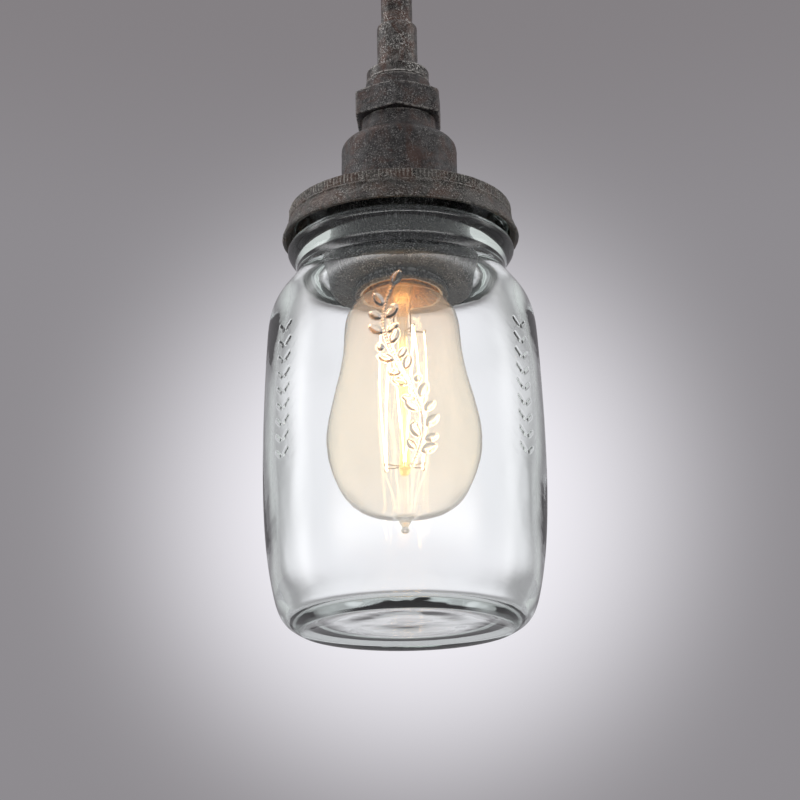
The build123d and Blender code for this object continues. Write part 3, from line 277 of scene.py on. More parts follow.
class Finish:
    """A material and short ways to place and join its nodes."""

    def __init__(self, name):
        self.material = bpy.data.materials.new(name)
        self.material.use_nodes = True
        self.tree = self.material.node_tree
        self.tree.nodes.clear()
        self.out = self.tree.nodes.new("ShaderNodeOutputMaterial")
        self.shader = self.tree.nodes.new("ShaderNodeBsdfPrincipled")
        self.join(self.shader.outputs[0], self.out.inputs["Surface"])
        self.place = self.tree.nodes.new("ShaderNodeTexCoord").outputs["Object"]

    def join(self, source, target):
        self.tree.links.new(source, target)

    def feed(self, value, socket):
        if isinstance(value, bpy.types.NodeSocket):
            self.join(value, socket)
        else:
            socket.default_value = value

    def grain(self, scale, detail=3.0, roughness=0.55, stretch=(1, 1, 1), warp=0.0):
        """Cloudy noise; scale counts features in a metre."""
        mapping = self.tree.nodes.new("ShaderNodeMapping")
        mapping.inputs["Scale"].default_value = stretch
        self.join(self.place, mapping.inputs["Vector"])
        node = self.tree.nodes.new("ShaderNodeTexNoise")
        node.inputs["Scale"].default_value = scale
        node.inputs["Detail"].default_value = detail
        node.inputs["Roughness"].default_value = roughness
        node.inputs["Distortion"].default_value = warp
        self.join(mapping.outputs[0], node.inputs["Vector"])
        return node.outputs["Fac"]

    def cells(self, scale, feature="F1", output="Distance"):
        node = self.tree.nodes.new("ShaderNodeTexVoronoi")
        node.feature = feature
        node.inputs["Scale"].default_value = scale
        self.join(self.place, node.inputs["Vector"])
        return node.outputs[output]

    def level(self, value, low, high, to_low=0.0, to_high=1.0):
        """Smooth step between two levels of a value."""
        node = self.tree.nodes.new("ShaderNodeMapRange")
        node.interpolation_type = "SMOOTHSTEP"
        self.feed(value, node.inputs["Value"])
        node.inputs["From Min"].default_value = low
        node.inputs["From Max"].default_value = high
        node.inputs["To Min"].default_value = to_low
        node.inputs["To Max"].default_value = to_high
        return node.outputs["Result"]

    def math(self, operation, a, b=0.0, clamp=False):
        node = self.tree.nodes.new("ShaderNodeMath")
        node.operation = operation
        node.use_clamp = clamp
        self.feed(a, node.inputs[0])
        self.feed(b, node.inputs[1])
        return node.outputs[0]

    def blend(self, share, a, b):
        node = self.tree.nodes.new("ShaderNodeMix")
        node.data_type = "RGBA"
        self.feed(share, node.inputs["Factor"])
        self.feed(a, node.inputs["A"])
        self.feed(b, node.inputs["B"])
        return node.outputs["Result"]

    def bump(self, height, depth, strength=1.0, normal=None):
        node = self.tree.nodes.new("ShaderNodeBump")
        node.inputs["Strength"].default_value = strength
        node.inputs["Distance"].default_value = depth
        self.join(height, node.inputs["Height"])
        if normal is not None:
            self.join(normal, node.inputs["Normal"])
        return node.outputs["Normal"]

    def worn_edges(self, width, low=0.006, high=0.07):
        """Share of wear along outer edges: where a rounded normal leaves the true one."""
        bevel = self.tree.nodes.new("ShaderNodeBevel")
        bevel.samples = 4
        bevel.inputs["Radius"].default_value = width
        geometry = self.tree.nodes.new("ShaderNodeNewGeometry")
        dot = self.tree.nodes.new("ShaderNodeVectorMath")
        dot.operation = "DOT_PRODUCT"
        self.join(bevel.outputs[0], dot.inputs[0])
        self.join(geometry.outputs["Normal"], dot.inputs[1])
        away = self.math("SUBTRACT", 1.0, dot.outputs["Value"])
        return self.level(away, low, high)

    def set(self, **values):
        """Set the shader's own sockets by name, spaces as underscores."""
        for name, value in values.items():
            self.feed(value, self.shader.inputs[name.replace("_", " ")])

    def let_lamps_through(self, tint):
        """Glass that lamps shine through, and that is glass to every other ray."""
        path = self.tree.nodes.new("ShaderNodeLightPath")
        clear = self.tree.nodes.new("ShaderNodeBsdfTransparent")
        clear.inputs["Color"].default_value = tint
        mix = self.tree.nodes.new("ShaderNodeMixShader")
        self.join(path.outputs["Is Shadow Ray"], mix.inputs[0])
        self.join(self.shader.outputs[0], mix.inputs[1])
        self.join(clear.outputs[0], mix.inputs[2])
        self.join(mix.outputs[0], self.out.inputs["Surface"])

    def absorb(self, colour, density):
        node = self.tree.nodes.new("ShaderNodeVolumeAbsorption")
        node.inputs["Color"].default_value = colour
        node.inputs["Density"].default_value = density
        self.join(node.outputs[0], self.out.inputs["Volume"])


def cast_finish(name, body, deep, rust, fleck, worn, rust_level=0.56, fleck_share=1.0,
                edge=0.0014, metal=0.35, gloss=0.36):
    """Aged cast metal: cloudy body, rust in patches, pale flecks, worn edges and fine pits."""
    f = Finish(name)
    cloud = f.math("ADD", f.math("MULTIPLY", f.grain(260, 5.0, 0.62, warp=0.4), 0.7),
                   f.math("MULTIPLY", f.grain(60, 3.0, 0.5), 0.3))
    colour = f.blend(f.level(cloud, 0.38, 0.62), deep, body)
    stain = f.grain(85, 6.0, 0.68, warp=0.8)
    colour = f.blend(f.level(stain, rust_level - 0.09, rust_level + 0.11, 0.0, 0.7), colour, rust)
    cluster = f.grain(150, 4.0, 0.62)
    dots = f.grain(1500, 3.0, 0.70)
    spread = f.level(cluster, 0.36, 0.62, 0.22, 1.0)
    flecks = f.math("MULTIPLY", f.level(dots, 0.54, 0.61), f.math("MULTIPLY", spread, fleck_share))
    colour = f.blend(flecks, colour, fleck)
    chosen = f.level(f.cells(1300, output="Color"), 0.50, 0.62)
    speck = f.math("MULTIPLY", f.level(f.cells(1300), 0.14, 0.30, 1.0, 0.0), chosen)
    bright = f.math("MULTIPLY", speck, spread)
    colour = f.blend(f.math("MULTIPLY", bright, 0.8 * fleck_share), colour, worn)
    rubbed = f.math("MULTIPLY", f.worn_edges(edge), f.level(f.grain(620, 4.0, 0.65), 0.40, 0.58))
    colour = f.blend(f.math("MULTIPLY", rubbed, 0.8), colour, worn)
    pits = f.level(f.cells(820), 0.08, 0.30)
    colour = f.blend(f.level(pits, 0.0, 1.0, 0.55, 0.0), colour, deep)
    f.set(Base_Color=colour, Metallic=metal, Specular_IOR_Level=0.32,
          Roughness=f.level(cluster, 0.3, 0.7, gloss, gloss + 0.24))
    rough = f.math("ADD", f.math("MULTIPLY", dots, 0.6), f.grain(520, 4.0, 0.6))
    skin = f.math("ADD", rough, f.math("MULTIPLY", pits, 0.5))
    f.set(Normal=f.bump(skin, 0.00022, 0.75))
    return f.material


def plated_finish(name, colour, shade, roughness):
    """Plated sheet or screw: fine crystals, cloudy stains and cloudy gloss."""
    f = Finish(name)
    spangle = f.cells(260, output="Color")
    tone = f.level(spangle, 0.2, 0.8, 0.0, 0.55)
    base = f.blend(tone, colour, shade)
    stain = f.level(f.grain(70, 5.0, 0.6), 0.52, 0.72, 0.0, 0.35)
    base = f.blend(stain, base, shade)
    f.set(Base_Color=base, Metallic=1.0,
          Roughness=f.level(f.grain(300, 4.0, 0.6), 0.3, 0.7, roughness - 0.08, roughness + 0.12))
    f.set(Normal=f.bump(f.grain(1800, 3.0, 0.6), 0.00005, 0.5))
    return f.material


def brass_finish(name, bright, dull):
    """Bright brass with a light brown bloom."""
    f = Finish(name)
    bloom = f.level(f.grain(140, 5.0, 0.62), 0.42, 0.66, 0.0, 0.8)
    f.set(Base_Color=f.blend(bloom, bright, dull), Metallic=1.0,
          Roughness=f.level(f.grain(420, 4.0, 0.6), 0.3, 0.7, 0.2, 0.38))
    f.set(Normal=f.bump(f.grain(900, 3.0, 0.6), 0.00004, 0.5))
    return f.material


def moulded_finish(name, colour, shade, roughness, grain_scale=900):
    """Moulded or dyed surface: slight change of tone and a fine grain."""
    f = Finish(name)
    tone = f.level(f.grain(120, 4.0, 0.6), 0.35, 0.65)
    f.set(Base_Color=f.blend(tone, colour, shade),
          Roughness=f.level(f.grain(300, 3.0, 0.6), 0.3, 0.7, roughness - 0.06, roughness + 0.08))
    f.set(Normal=f.bump(f.grain(grain_scale, 3.0, 0.6), 0.00006, 0.6))
    return f.material


def porcelain_finish():
    """Glazed porcelain with faint specks and a soft pool in the glaze."""
    f = Finish("porcelain")
    tone = f.level(f.grain(90, 4.0, 0.6), 0.35, 0.65)
    colour = f.blend(tone, paint(236, 232, 224), paint(222, 216, 205))
    specks = f.level(f.grain(700, 2.0, 0.5), 0.69, 0.73, 0.0, 0.6)
    f.set(Base_Color=f.blend(specks, colour, paint(150, 138, 120)), Roughness=0.16,
          Coat_Weight=0.4, Coat_Roughness=0.05)
    f.set(Normal=f.bump(f.grain(120, 3.0, 0.5), 0.0002, 0.3))
    return f.material


def jar_glass_finish():
    """Clear pressed glass: faint waves, a green body that shows where it is thick."""
    f = Finish("jar_glass")
    f.set(Base_Color=(1.0, 1.0, 1.0, 1.0), Roughness=0.0, IOR=1.5, Transmission_Weight=1.0)
    slow = f.grain(34, 2.0, 0.5, stretch=(1, 1, 0.5))
    quick = f.grain(130, 2.0, 0.5, stretch=(0.6, 0.6, 1.4))
    waves = f.math("ADD", slow, f.math("MULTIPLY", quick, 0.10))
    f.set(Normal=f.bump(waves, 0.0010, 0.30))
    f.let_lamps_through((0.96, 0.97, 0.965, 1.0))
    f.absorb((0.62, 0.84, 0.74, 1.0), 18.0)
    return f.material


def lamp_glass_finish():
    """Thin blown lamp glass, faintly milky, with painted warm light of the filament behind it, emitted by the
    glass itself and strongest over the lower middle of the bulb.
    """
    f = Finish("lamp_glass")
    parts = f.tree.nodes.new("ShaderNodeSeparateXYZ")
    f.join(f.place, parts.inputs[0])
    # Painted light: height mask for warm emission of the glass itself, standing in for filament light scattered in
    # it.
    near = f.level(parts.outputs["Z"], lamp(-136.0) * MM, lamp(-104.0) * MM, 0.45, 1.0)
    high = f.level(parts.outputs["Z"], lamp(-66.0) * MM, lamp(-40.0) * MM, 1.0, 0.0)
    painted_filament_glow = f.math("MULTIPLY", near, high)
    painted_glow_streaks = f.level(f.grain(70, 3.0, 0.5, stretch=(1, 1, 0.15)), 0.3, 0.7, 0.7, 1.2)
    painted_glow_colour = f.blend(painted_filament_glow, (0.60, 0.50, 0.40, 1.0), (1.0, 0.86, 0.68, 1.0))
    # The emission colour and strength below are that painted filament light, streaked and strongest over the lower
    # middle.
    f.set(Base_Color=(0.96, 0.925, 0.865, 1.0), Roughness=0.0, IOR=1.46, Transmission_Weight=0.94,
          Emission_Color=painted_glow_colour,
          Emission_Strength=f.math("MULTIPLY", painted_glow_streaks, f.level(painted_filament_glow, 0.0, 1.0, 0.008, 0.050)))
    waves = f.grain(60, 2.0, 0.5, stretch=(1, 1, 0.25))
    f.set(Normal=f.bump(waves, 0.0005, 0.3))
    f.let_lamps_through((0.97, 0.94, 0.88, 1.0))
    f.absorb((0.60, 0.545, 0.46, 1.0), 60.0)
    return f.material


def mount_glass_finish():
    """Glass mount in the lamp, with painted warm light of the filament where the filament runs beside it: a
    lighter, warmer colour and emission of the glass itself.
    """
    f = Finish("mount_glass")
    parts = f.tree.nodes.new("ShaderNodeSeparateXYZ")
    f.join(f.place, parts.inputs[0])
    # Painted light: height masks for where the rod is made lighter, warmer and emitting, as if lit by the filament
    # beside it, deeper orange toward its button end.
    beside = f.level(parts.outputs["Z"], lamp(-58.0) * MM, lamp(-48.0) * MM, 1.0, 0.0)
    low = f.level(parts.outputs["Z"], lamp(-109.0) * MM, lamp(-98.0) * MM)
    tone = f.level(f.grain(260, 3.0, 0.6, stretch=(1, 1, 0.2)), 0.35, 0.65)
    painted_rod_light_colour = f.blend(low, (1.0, 0.42, 0.09, 1.0), (1.0, 0.62, 0.22, 1.0))
    # Base colour and emission below carry the painted filament light on the rod.
    f.set(Base_Color=f.blend(beside, (0.85, 0.82, 0.76, 1.0), (1.0, 0.86, 0.6, 1.0)), Roughness=0.05,
          IOR=1.48, Transmission_Weight=0.85,
          Emission_Color=f.blend(tone, painted_rod_light_colour, (1.0, 0.56, 0.16, 1.0)),
          Emission_Strength=f.level(beside, 0.0, 1.0, 0.0, 0.55))
    f.let_lamps_through((0.97, 0.9, 0.78, 1.0))
    return f.material


def black_glass_finish():
    """Black glass insulator, glossy and slightly uneven."""
    f = Finish("black_glass")
    tone = f.level(f.grain(200, 3.0, 0.6), 0.35, 0.65)
    f.set(Base_Color=f.blend(tone, paint(18, 18, 22), paint(34, 33, 38)), Roughness=0.08)
    f.set(Normal=f.bump(f.grain(260, 3.0, 0.5), 0.0002, 0.4))
    return f.material


def lit_filament_finish():
    """Glowing filament: hottest in the middle of each strand."""
    f = Finish("lit_filament")
    heat = f.level(f.grain(150, 2.0, 0.5), 0.3, 0.7)
    f.set(Base_Color=paint(200, 150, 90), Roughness=0.5,
          Emission_Color=f.blend(heat, (1.0, 0.62, 0.28, 1.0), (1.0, 0.80, 0.52, 1.0)),
          Emission_Strength=9.0)
    return f.material


FINISHES = {
    "aged_iron": cast_finish("aged_iron", paint(66, 64, 64), paint(33, 31, 31), paint(72, 50, 42),
                             paint(142, 140, 138), paint(192, 188, 182), rust_level=0.54,
                             fleck_share=0.62),
    "aged_steel": cast_finish("aged_steel", paint(88, 86, 84), paint(38, 35, 34), paint(78, 53, 44),
                              paint(170, 168, 164), paint(214, 210, 204), rust_level=0.53,
                              metal=0.75, gloss=0.28),
    "band_iron": cast_finish("band_iron", paint(70, 67, 64), paint(32, 30, 28), paint(74, 52, 42),
                             paint(158, 155, 150), paint(200, 196, 188), rust_level=0.54,
                             fleck_share=0.85, edge=0.0006),
    "lid_inner": cast_finish("lid_inner", paint(62, 62, 65), paint(34, 34, 37), paint(62, 58, 55),
                             paint(170, 170, 172), paint(206, 206, 208), rust_level=0.66,
                             fleck_share=0.9),
    "zinc_steel": plated_finish("zinc_steel", paint(200, 200, 198), paint(160, 160, 162), 0.34),
    "brass": brass_finish("brass", paint(214, 160, 92), paint(164, 104, 56)),
    "ground_green": moulded_finish("ground_green", paint(48, 128, 72), paint(34, 98, 54), 0.34),
    "spring_steel": plated_finish("spring_steel", paint(190, 190, 192), paint(150, 150, 154), 0.28),
    "porcelain": porcelain_finish(),
    "wire_black": moulded_finish("wire_black", paint(30, 30, 31), paint(42, 42, 43), 0.32),
    "connector_orange": moulded_finish("connector_orange", paint(214, 120, 44), paint(190, 98, 34), 0.45),
    "seal_rubber": moulded_finish("seal_rubber", paint(38, 37, 36), paint(52, 50, 49), 0.7),
    "nylon": moulded_finish("nylon", paint(226, 222, 208), paint(210, 204, 188), 0.4),
    "jar_glass": jar_glass_finish(),
    "lamp_glass": lamp_glass_finish(),
    "mount_glass": mount_glass_finish(),
    "black_glass": black_glass_finish(),
    "solder": plated_finish("solder", paint(186, 184, 178), paint(140, 138, 134), 0.42),
    "filament_wire": lit_filament_finish(),
    "support_wire": plated_finish("support_wire", paint(190, 170, 146), paint(140, 118, 96), 0.4),
}

for subpart in frame["record"]["subparts"]:
    node = frame["nodes"][subpart["node"]]
    for material_slot in node.material_slots:
        material_slot.material = FINISHES[subpart["material_slot"]]


# Geometry node trees

def tree_with(name, inputs):
    """Empty geometry tree with its named inputs, a Finish input and one output."""
    tree = bpy.data.node_groups.new(name, "GeometryNodeTree")
    tree.interface.new_socket("Geometry", in_out="INPUT", socket_type="NodeSocketGeometry")
    for label, kind in inputs:
        tree.interface.new_socket(label, in_out="INPUT", socket_type=kind)
    tree.interface.new_socket("Finish", in_out="INPUT", socket_type="NodeSocketMaterial")
    tree.interface.new_socket("Geometry", in_out="OUTPUT", socket_type="NodeSocketGeometry")
    start = tree.nodes.new("NodeGroupInput")
    end = tree.nodes.new("NodeGroupOutput")
    return tree, start, end


def tree_math(tree, operation, a, b=None):
    node = tree.nodes.new("ShaderNodeMath")
    node.operation = operation
    for socket, value in ((node.inputs[0], a), (node.inputs[1], b)):
        if isinstance(value, bpy.types.NodeSocket):
            tree.links.new(value, socket)
        elif value is not None:
            socket.default_value = value
    return node.outputs[0]


def finish_tree(tree, geometry, start, end):
    """Realize, shade smooth and set the finish, then hand the geometry out."""
    real = tree.nodes.new("GeometryNodeRealizeInstances")
    smooth = tree.nodes.new("GeometryNodeSetShadeSmooth")
    coat = tree.nodes.new("GeometryNodeSetMaterial")
    tree.links.new(geometry, real.inputs[0])
    tree.links.new(real.outputs[0], smooth.inputs["Geometry"])
    tree.links.new(smooth.outputs[0], coat.inputs["Geometry"])
    tree.links.new(start.outputs["Finish"], coat.inputs["Material"])
    tree.links.new(coat.outputs[0], end.inputs[0])
    return tree


def wire_tree():
    """Round wire along every curve of the object."""
    tree, start, end = tree_with("wire_along_path", [
        ("Wire Radius", "NodeSocketFloat"), ("Sides", "NodeSocketInt")])
    ring = tree.nodes.new("GeometryNodeCurvePrimitiveCircle")
    tree.links.new(start.outputs["Wire Radius"], ring.inputs["Radius"])
    tree.links.new(start.outputs["Sides"], ring.inputs["Resolution"])
    sweep = tree.nodes.new("GeometryNodeCurveToMesh")
    sweep.inputs["Fill Caps"].default_value = True
    tree.links.new(start.outputs["Geometry"], sweep.inputs["Curve"])
    tree.links.new(ring.outputs[0], sweep.inputs["Profile Curve"])
    return finish_tree(tree, sweep.outputs[0], start, end)


def rib_tree():
    """Upright ribs spread round the axis, each a bar with faded ends, slightly uneven."""
    tree, start, end = tree_with("ribs_round_axis", [
        ("Count", "NodeSocketInt"), ("Ring Radius", "NodeSocketFloat"),
        ("Rib Width", "NodeSocketFloat"), ("Rib Height", "NodeSocketFloat"),
        ("Middle Height", "NodeSocketFloat"), ("Taper", "NodeSocketFloat"),
        ("Unevenness", "NodeSocketFloat"), ("Seed", "NodeSocketInt")])
    bar = tree.nodes.new("GeometryNodeMeshCylinder")
    bar.fill_type = "TRIANGLE_FAN"
    bar.inputs["Vertices"].default_value = 8
    bar.inputs["Side Segments"].default_value = 8
    tree.links.new(tree_math(tree, "MULTIPLY", start.outputs["Rib Width"], 0.5), bar.inputs["Radius"])
    tree.links.new(start.outputs["Rib Height"], bar.inputs["Depth"])
    place = tree.nodes.new("GeometryNodeInputPosition")
    parts = tree.nodes.new("ShaderNodeSeparateXYZ")
    tree.links.new(place.outputs[0], parts.inputs[0])
    share = tree_math(tree, "ABSOLUTE", tree_math(tree, "DIVIDE", parts.outputs["Z"],
                      tree_math(tree, "MULTIPLY", start.outputs["Rib Height"], 0.502)))
    fade = tree_math(tree, "SQRT", tree_math(tree, "SUBTRACT", 1.0, tree_math(tree, "POWER", share, 5.0)))
    lean = tree_math(tree, "ADD", 1.0, tree_math(tree, "MULTIPLY", start.outputs["Taper"],
                     tree_math(tree, "DIVIDE", parts.outputs["Z"], start.outputs["Rib Height"])))
    faded = tree.nodes.new("ShaderNodeCombineXYZ")
    tree.links.new(tree_math(tree, "MULTIPLY", parts.outputs["X"], fade), faded.inputs["X"])
    tree.links.new(tree_math(tree, "MULTIPLY", parts.outputs["Y"], fade), faded.inputs["Y"])
    tree.links.new(parts.outputs["Z"], faded.inputs["Z"])
    shaped = tree.nodes.new("GeometryNodeSetPosition")
    tree.links.new(bar.outputs["Mesh"], shaped.inputs["Geometry"])
    tree.links.new(faded.outputs[0], shaped.inputs["Position"])
    ring = tree.nodes.new("GeometryNodeMeshCircle")
    tree.links.new(start.outputs["Count"], ring.inputs["Vertices"])
    tree.links.new(start.outputs["Ring Radius"], ring.inputs["Radius"])
    index = tree.nodes.new("GeometryNodeInputIndex")
    turn = tree_math(tree, "DIVIDE", tree_math(tree, "MULTIPLY", index.outputs[0], 2 * math.pi),
                     start.outputs["Count"])
    aim = tree.nodes.new("ShaderNodeCombineXYZ")
    tree.links.new(turn, aim.inputs["Z"])
    chance = tree.nodes.new("FunctionNodeRandomValue")
    chance.data_type = "FLOAT_VECTOR"
    tree.links.new(start.outputs["Seed"], chance.inputs["Seed"])
    least = tree_math(tree, "SUBTRACT", 1.0, start.outputs["Unevenness"])
    lowest = tree.nodes.new("ShaderNodeCombineXYZ")
    highest = tree.nodes.new("ShaderNodeCombineXYZ")
    tree.links.new(least, lowest.inputs["X"])
    tree.links.new(least, lowest.inputs["Y"])
    lowest.inputs["Z"].default_value = 0.94
    highest.inputs["X"].default_value = 1.0
    highest.inputs["Y"].default_value = 1.0
    highest.inputs["Z"].default_value = 1.0
    tree.links.new(lowest.outputs[0], chance.inputs["Min"])
    tree.links.new(highest.outputs[0], chance.inputs["Max"])
    copies = tree.nodes.new("GeometryNodeInstanceOnPoints")
    tree.links.new(ring.outputs[0], copies.inputs["Points"])
    tree.links.new(shaped.outputs[0], copies.inputs["Instance"])
    tree.links.new(aim.outputs[0], copies.inputs["Rotation"])
    tree.links.new(chance.outputs[0], copies.inputs["Scale"])
    real = tree.nodes.new("GeometryNodeRealizeInstances")
    tree.links.new(copies.outputs[0], real.inputs[0])
    after = tree.nodes.new("GeometryNodeInputPosition")
    spread = tree.nodes.new("ShaderNodeSeparateXYZ")
    tree.links.new(after.outputs[0], spread.inputs[0])
    rise = tree_math(tree, "DIVIDE", spread.outputs["Z"], start.outputs["Rib Height"])
    lean = tree_math(tree, "ADD", 1.0, tree_math(tree, "MULTIPLY", start.outputs["Taper"], rise))
    leaned = tree.nodes.new("ShaderNodeCombineXYZ")
    tree.links.new(tree_math(tree, "MULTIPLY", spread.outputs["X"], lean), leaned.inputs["X"])
    tree.links.new(tree_math(tree, "MULTIPLY", spread.outputs["Y"], lean), leaned.inputs["Y"])
    tree.links.new(tree_math(tree, "ADD", spread.outputs["Z"], start.outputs["Middle Height"]),
                   leaned.inputs["Z"])
    raised = tree.nodes.new("GeometryNodeSetPosition")
    tree.links.new(real.outputs[0], raised.inputs["Geometry"])
    tree.links.new(leaned.outputs[0], raised.inputs["Position"])
    return finish_tree(tree, raised.outputs[0], start, end)


def grown(name, source, tree, **values):
    """Plain mesh object that a tree makes from a source object, which is then removed."""
    modifier = source.modifiers.new(tree.name, "NODES")
    modifier.node_group = tree
    for item in tree.interface.items_tree:
        key = item.name.replace(" ", "_")
        if item.in_out == "INPUT" and key in values:
            modifier[item.identifier] = values[key]
    seen = source.evaluated_get(bpy.context.evaluated_depsgraph_get())
    mesh = bpy.data.meshes.new_from_object(seen)
    source.modifiers.remove(modifier)
    bpy.data.objects.remove(source, do_unlink=True)
    mesh.name = name
    obj = bpy.data.objects.new(name, mesh)
    bpy.context.scene.collection.objects.link(obj)
    return obj


def seed_object():
    """Object with an empty mesh for a tree that makes everything itself."""
    obj = bpy.data.objects.new("seed", bpy.data.meshes.new("seed"))
    bpy.context.scene.collection.objects.link(obj)
    return obj


def path_object(paths):
    """Curve object with one smooth spline for each list of points."""
    curve = bpy.data.curves.new("paths", "CURVE")
    curve.dimensions = "3D"
    curve.resolution_u = 5
    for points in paths:
        spline = curve.splines.new("BEZIER")
        spline.bezier_points.add(len(points) - 1)
        for knot, point in zip(spline.bezier_points, points):
            knot.co = Vector(point) * MM
            knot.handle_left_type = knot.handle_right_type = "AUTO"
    obj = bpy.data.objects.new("paths", curve)
    bpy.context.scene.collection.objects.link(obj)
    return obj


WIRE_TREE = wire_tree()
RIB_TREE = rib_tree()


# Fittings above the lid

def make_stem():
    """Lamp pipe with a slightly uneven skin."""
    outline = rounded_ring([(5.3, STEM_BOTTOM, 0), (6.8, STEM_BOTTOM, 0), (6.8, STEM_TOP, 0.3),
                            (5.3, STEM_TOP, 0)], 1.2, 3)
    verts, faces = turned(outline, 72)
    verts = cast_skin(verts, 0.07, 2.6, 3.0)
    piece = mesh_object("stem_pipe", verts, faces, FINISHES["aged_steel"])
    return settled(piece, "pendant", "aged_steel", "stem_tube")


def make_coupling():
    """Cast sleeve at the foot of the stem."""
    outline = rounded_ring([
        (5.3, COLLAR_TOP, 0), (8.7, COLLAR_TOP, 0.3), (8.7, COUPLING_TOP, 1.1),
        (6.82, COUPLING_TOP, 0.25), (6.82, STEM_BOTTOM, 0), (5.3, STEM_BOTTOM, 0)], 0.7)
    verts, faces = turned(outline, 96)
    verts = cast_skin(verts, 0.10, 2.2, 7.0)
    piece = mesh_object("coupling_sleeve", verts, faces, FINISHES["aged_steel"])
    return settled(piece, "pendant", "aged_steel", "stem_coupling")


def make_collar():
    """Thick washer under the coupling."""
    outline = rounded_ring([
        (5.5, BOSS_TOP, 0), (13.4, BOSS_TOP, 0.3), (13.4, COLLAR_TOP, 0.5), (5.5, COLLAR_TOP, 0)], 0.6)
    verts, faces = turned(outline, 128)
    verts = cast_skin(verts, 0.12, 2.4, 11.0)
    piece = mesh_object("collar_washer", verts, faces, FINISHES["aged_steel"])
    return settled(piece, "pendant", "aged_steel", "collar_ring")


def make_hexagon():
    """Cast hexagon with worn corners and a grooved round boss that flares into it."""
    flats = 17.8
    boss = 13.8
    flare = 2.6
    groove_low = BOSS_TOP - 0.5
    hex_top = HEX_BOTTOM + 11.5
    corner = flats / math.cos(math.pi / 6)
    turn = math.radians(90 - 3.0)

    def hex_radius(angle):
        part = (angle - turn + math.pi / 3) % (math.pi / 3)
        plain = flats / math.cos(part - math.pi / 6)
        return soft_least(plain, corner - 0.3, 0.8)

    def quarter(x, z, size, first, last, steps=6):
        angles = [math.radians(first + (last - first) * step / steps) for step in range(steps + 1)]
        return [(x + size * math.cos(a), z + size * math.sin(a)) for a in angles]

    outline = [(5.5, HEX_BOTTOM)]
    outline += straight_run((5.5, HEX_BOTTOM), (flats - 0.6, HEX_BOTTOM), 1.6)
    outline += quarter(flats - 0.6, HEX_BOTTOM + 0.6, 0.6, -90, 0)
    outline += straight_run((flats, HEX_BOTTOM + 0.6), (flats, hex_top - 0.35), 0.5)
    outline += quarter(flats - 0.35, hex_top - 0.35, 0.35, 0, 90)
    outline += straight_run((flats - 0.35, hex_top), (boss + flare, hex_top), 0.4)
    outline += quarter(boss + flare, hex_top + flare, flare, -90, -180, 8)
    outline += straight_run((boss, hex_top + flare), (boss, groove_low - 0.3), 0.6)
    outline += quarter(boss - 0.3, groove_low - 0.3, 0.3, 0, 90, 4)
    outline += [(boss - 0.8, groove_low), (boss - 0.85, BOSS_TOP - 0.2), (boss - 0.85, BOSS_TOP)]
    outline += straight_run((boss - 0.85, BOSS_TOP), (5.5, BOSS_TOP), 1.6) + [(5.5, BOSS_TOP)]
    outline += straight_run((5.5, BOSS_TOP), (5.5, HEX_BOTTOM), 2.0)

    def shape(angle, row, radius, height):
        foot = boss + flare
        if height < HEX_BOTTOM + 0.3:
            foot = 6.0
        grow = max(0.0, min(1.0, (radius - foot) / (flats - foot)))
        if height > hex_top + 0.01:
            grow = 0.0
        wide = radius + grow * (hex_radius(angle) - flats)
        if grow > 0 and height > hex_top - 3.0:
            wide = min(wide, soft_least(wide, flats - 0.3 + (hex_top - height) * 3.1, 0.4))
        return wide, height

    verts, faces = turned(outline, 384, shape=shape)
    verts = cast_skin(verts, 0.11, 2.6, 17.0)
    piece = mesh_object("hexagon_casting", verts, faces, FINISHES["aged_iron"])
    return settled(piece, "pendant", "aged_iron", "hex_fitting")


def make_dome():
    """Domed casting over the lampholder, with the neck that carries the hexagon."""
    neck_low = HEX_BOTTOM - 9.7
    roof = neck_low - 3.0
    outline = rounded_ring([
        (5.5, HEX_BOTTOM, 0), (5.5, roof, 0), (22.6, roof, 3.0), (22.6, LID_TOP, 0.2),
        (24.6, LID_TOP, 0.3), (24.6, neck_low, 5.0), (15.8, neck_low, 1.4), (15.8, HEX_BOTTOM, 0.25)],
        0.8, 10)
    verts, faces = turned(outline, 200)
    verts = cast_skin(verts, 0.12, 3.0, 23.0)
    piece = mesh_object("dome_casting", verts, faces, FINISHES["aged_iron"])
    return settled(piece, "pendant", "aged_iron", "socket_cup")


def make_swivel_housing():
    """Lower turned half of the swivel, with softened edges."""
    cup = rounded_ring([
        (12.2, SWIVEL_LOW + 1.2, 0.3), (12.9, SWIVEL_LOW, 0.3), (18.0, SWIVEL_LOW, 1.4),
        (18.0, SWIVEL_SPLIT, 0.4), (16.0, SWIVEL_SPLIT, 0), (16.0, SWIVEL_LOW + 2.3, 0),
        (12.2, SWIVEL_LOW + 2.3, 0)], 0.9)
    verts, faces = turned(cup, 144)
    verts = cast_skin(verts, 0.06, 2.6, 29.0)
    lower = mesh_object("swivel_lower_half", verts, faces, FINISHES["aged_iron"])
    settled(lower, "ceiling_mount", "aged_iron", "swivel_cup")


# Lid

THREAD_PITCH = 5.08


def thread_share(rise):
    """Height share of a thread ridge at a distance from its middle."""
    return max(0.0, min(1.0, (1.0 - abs(rise)) / 0.5))


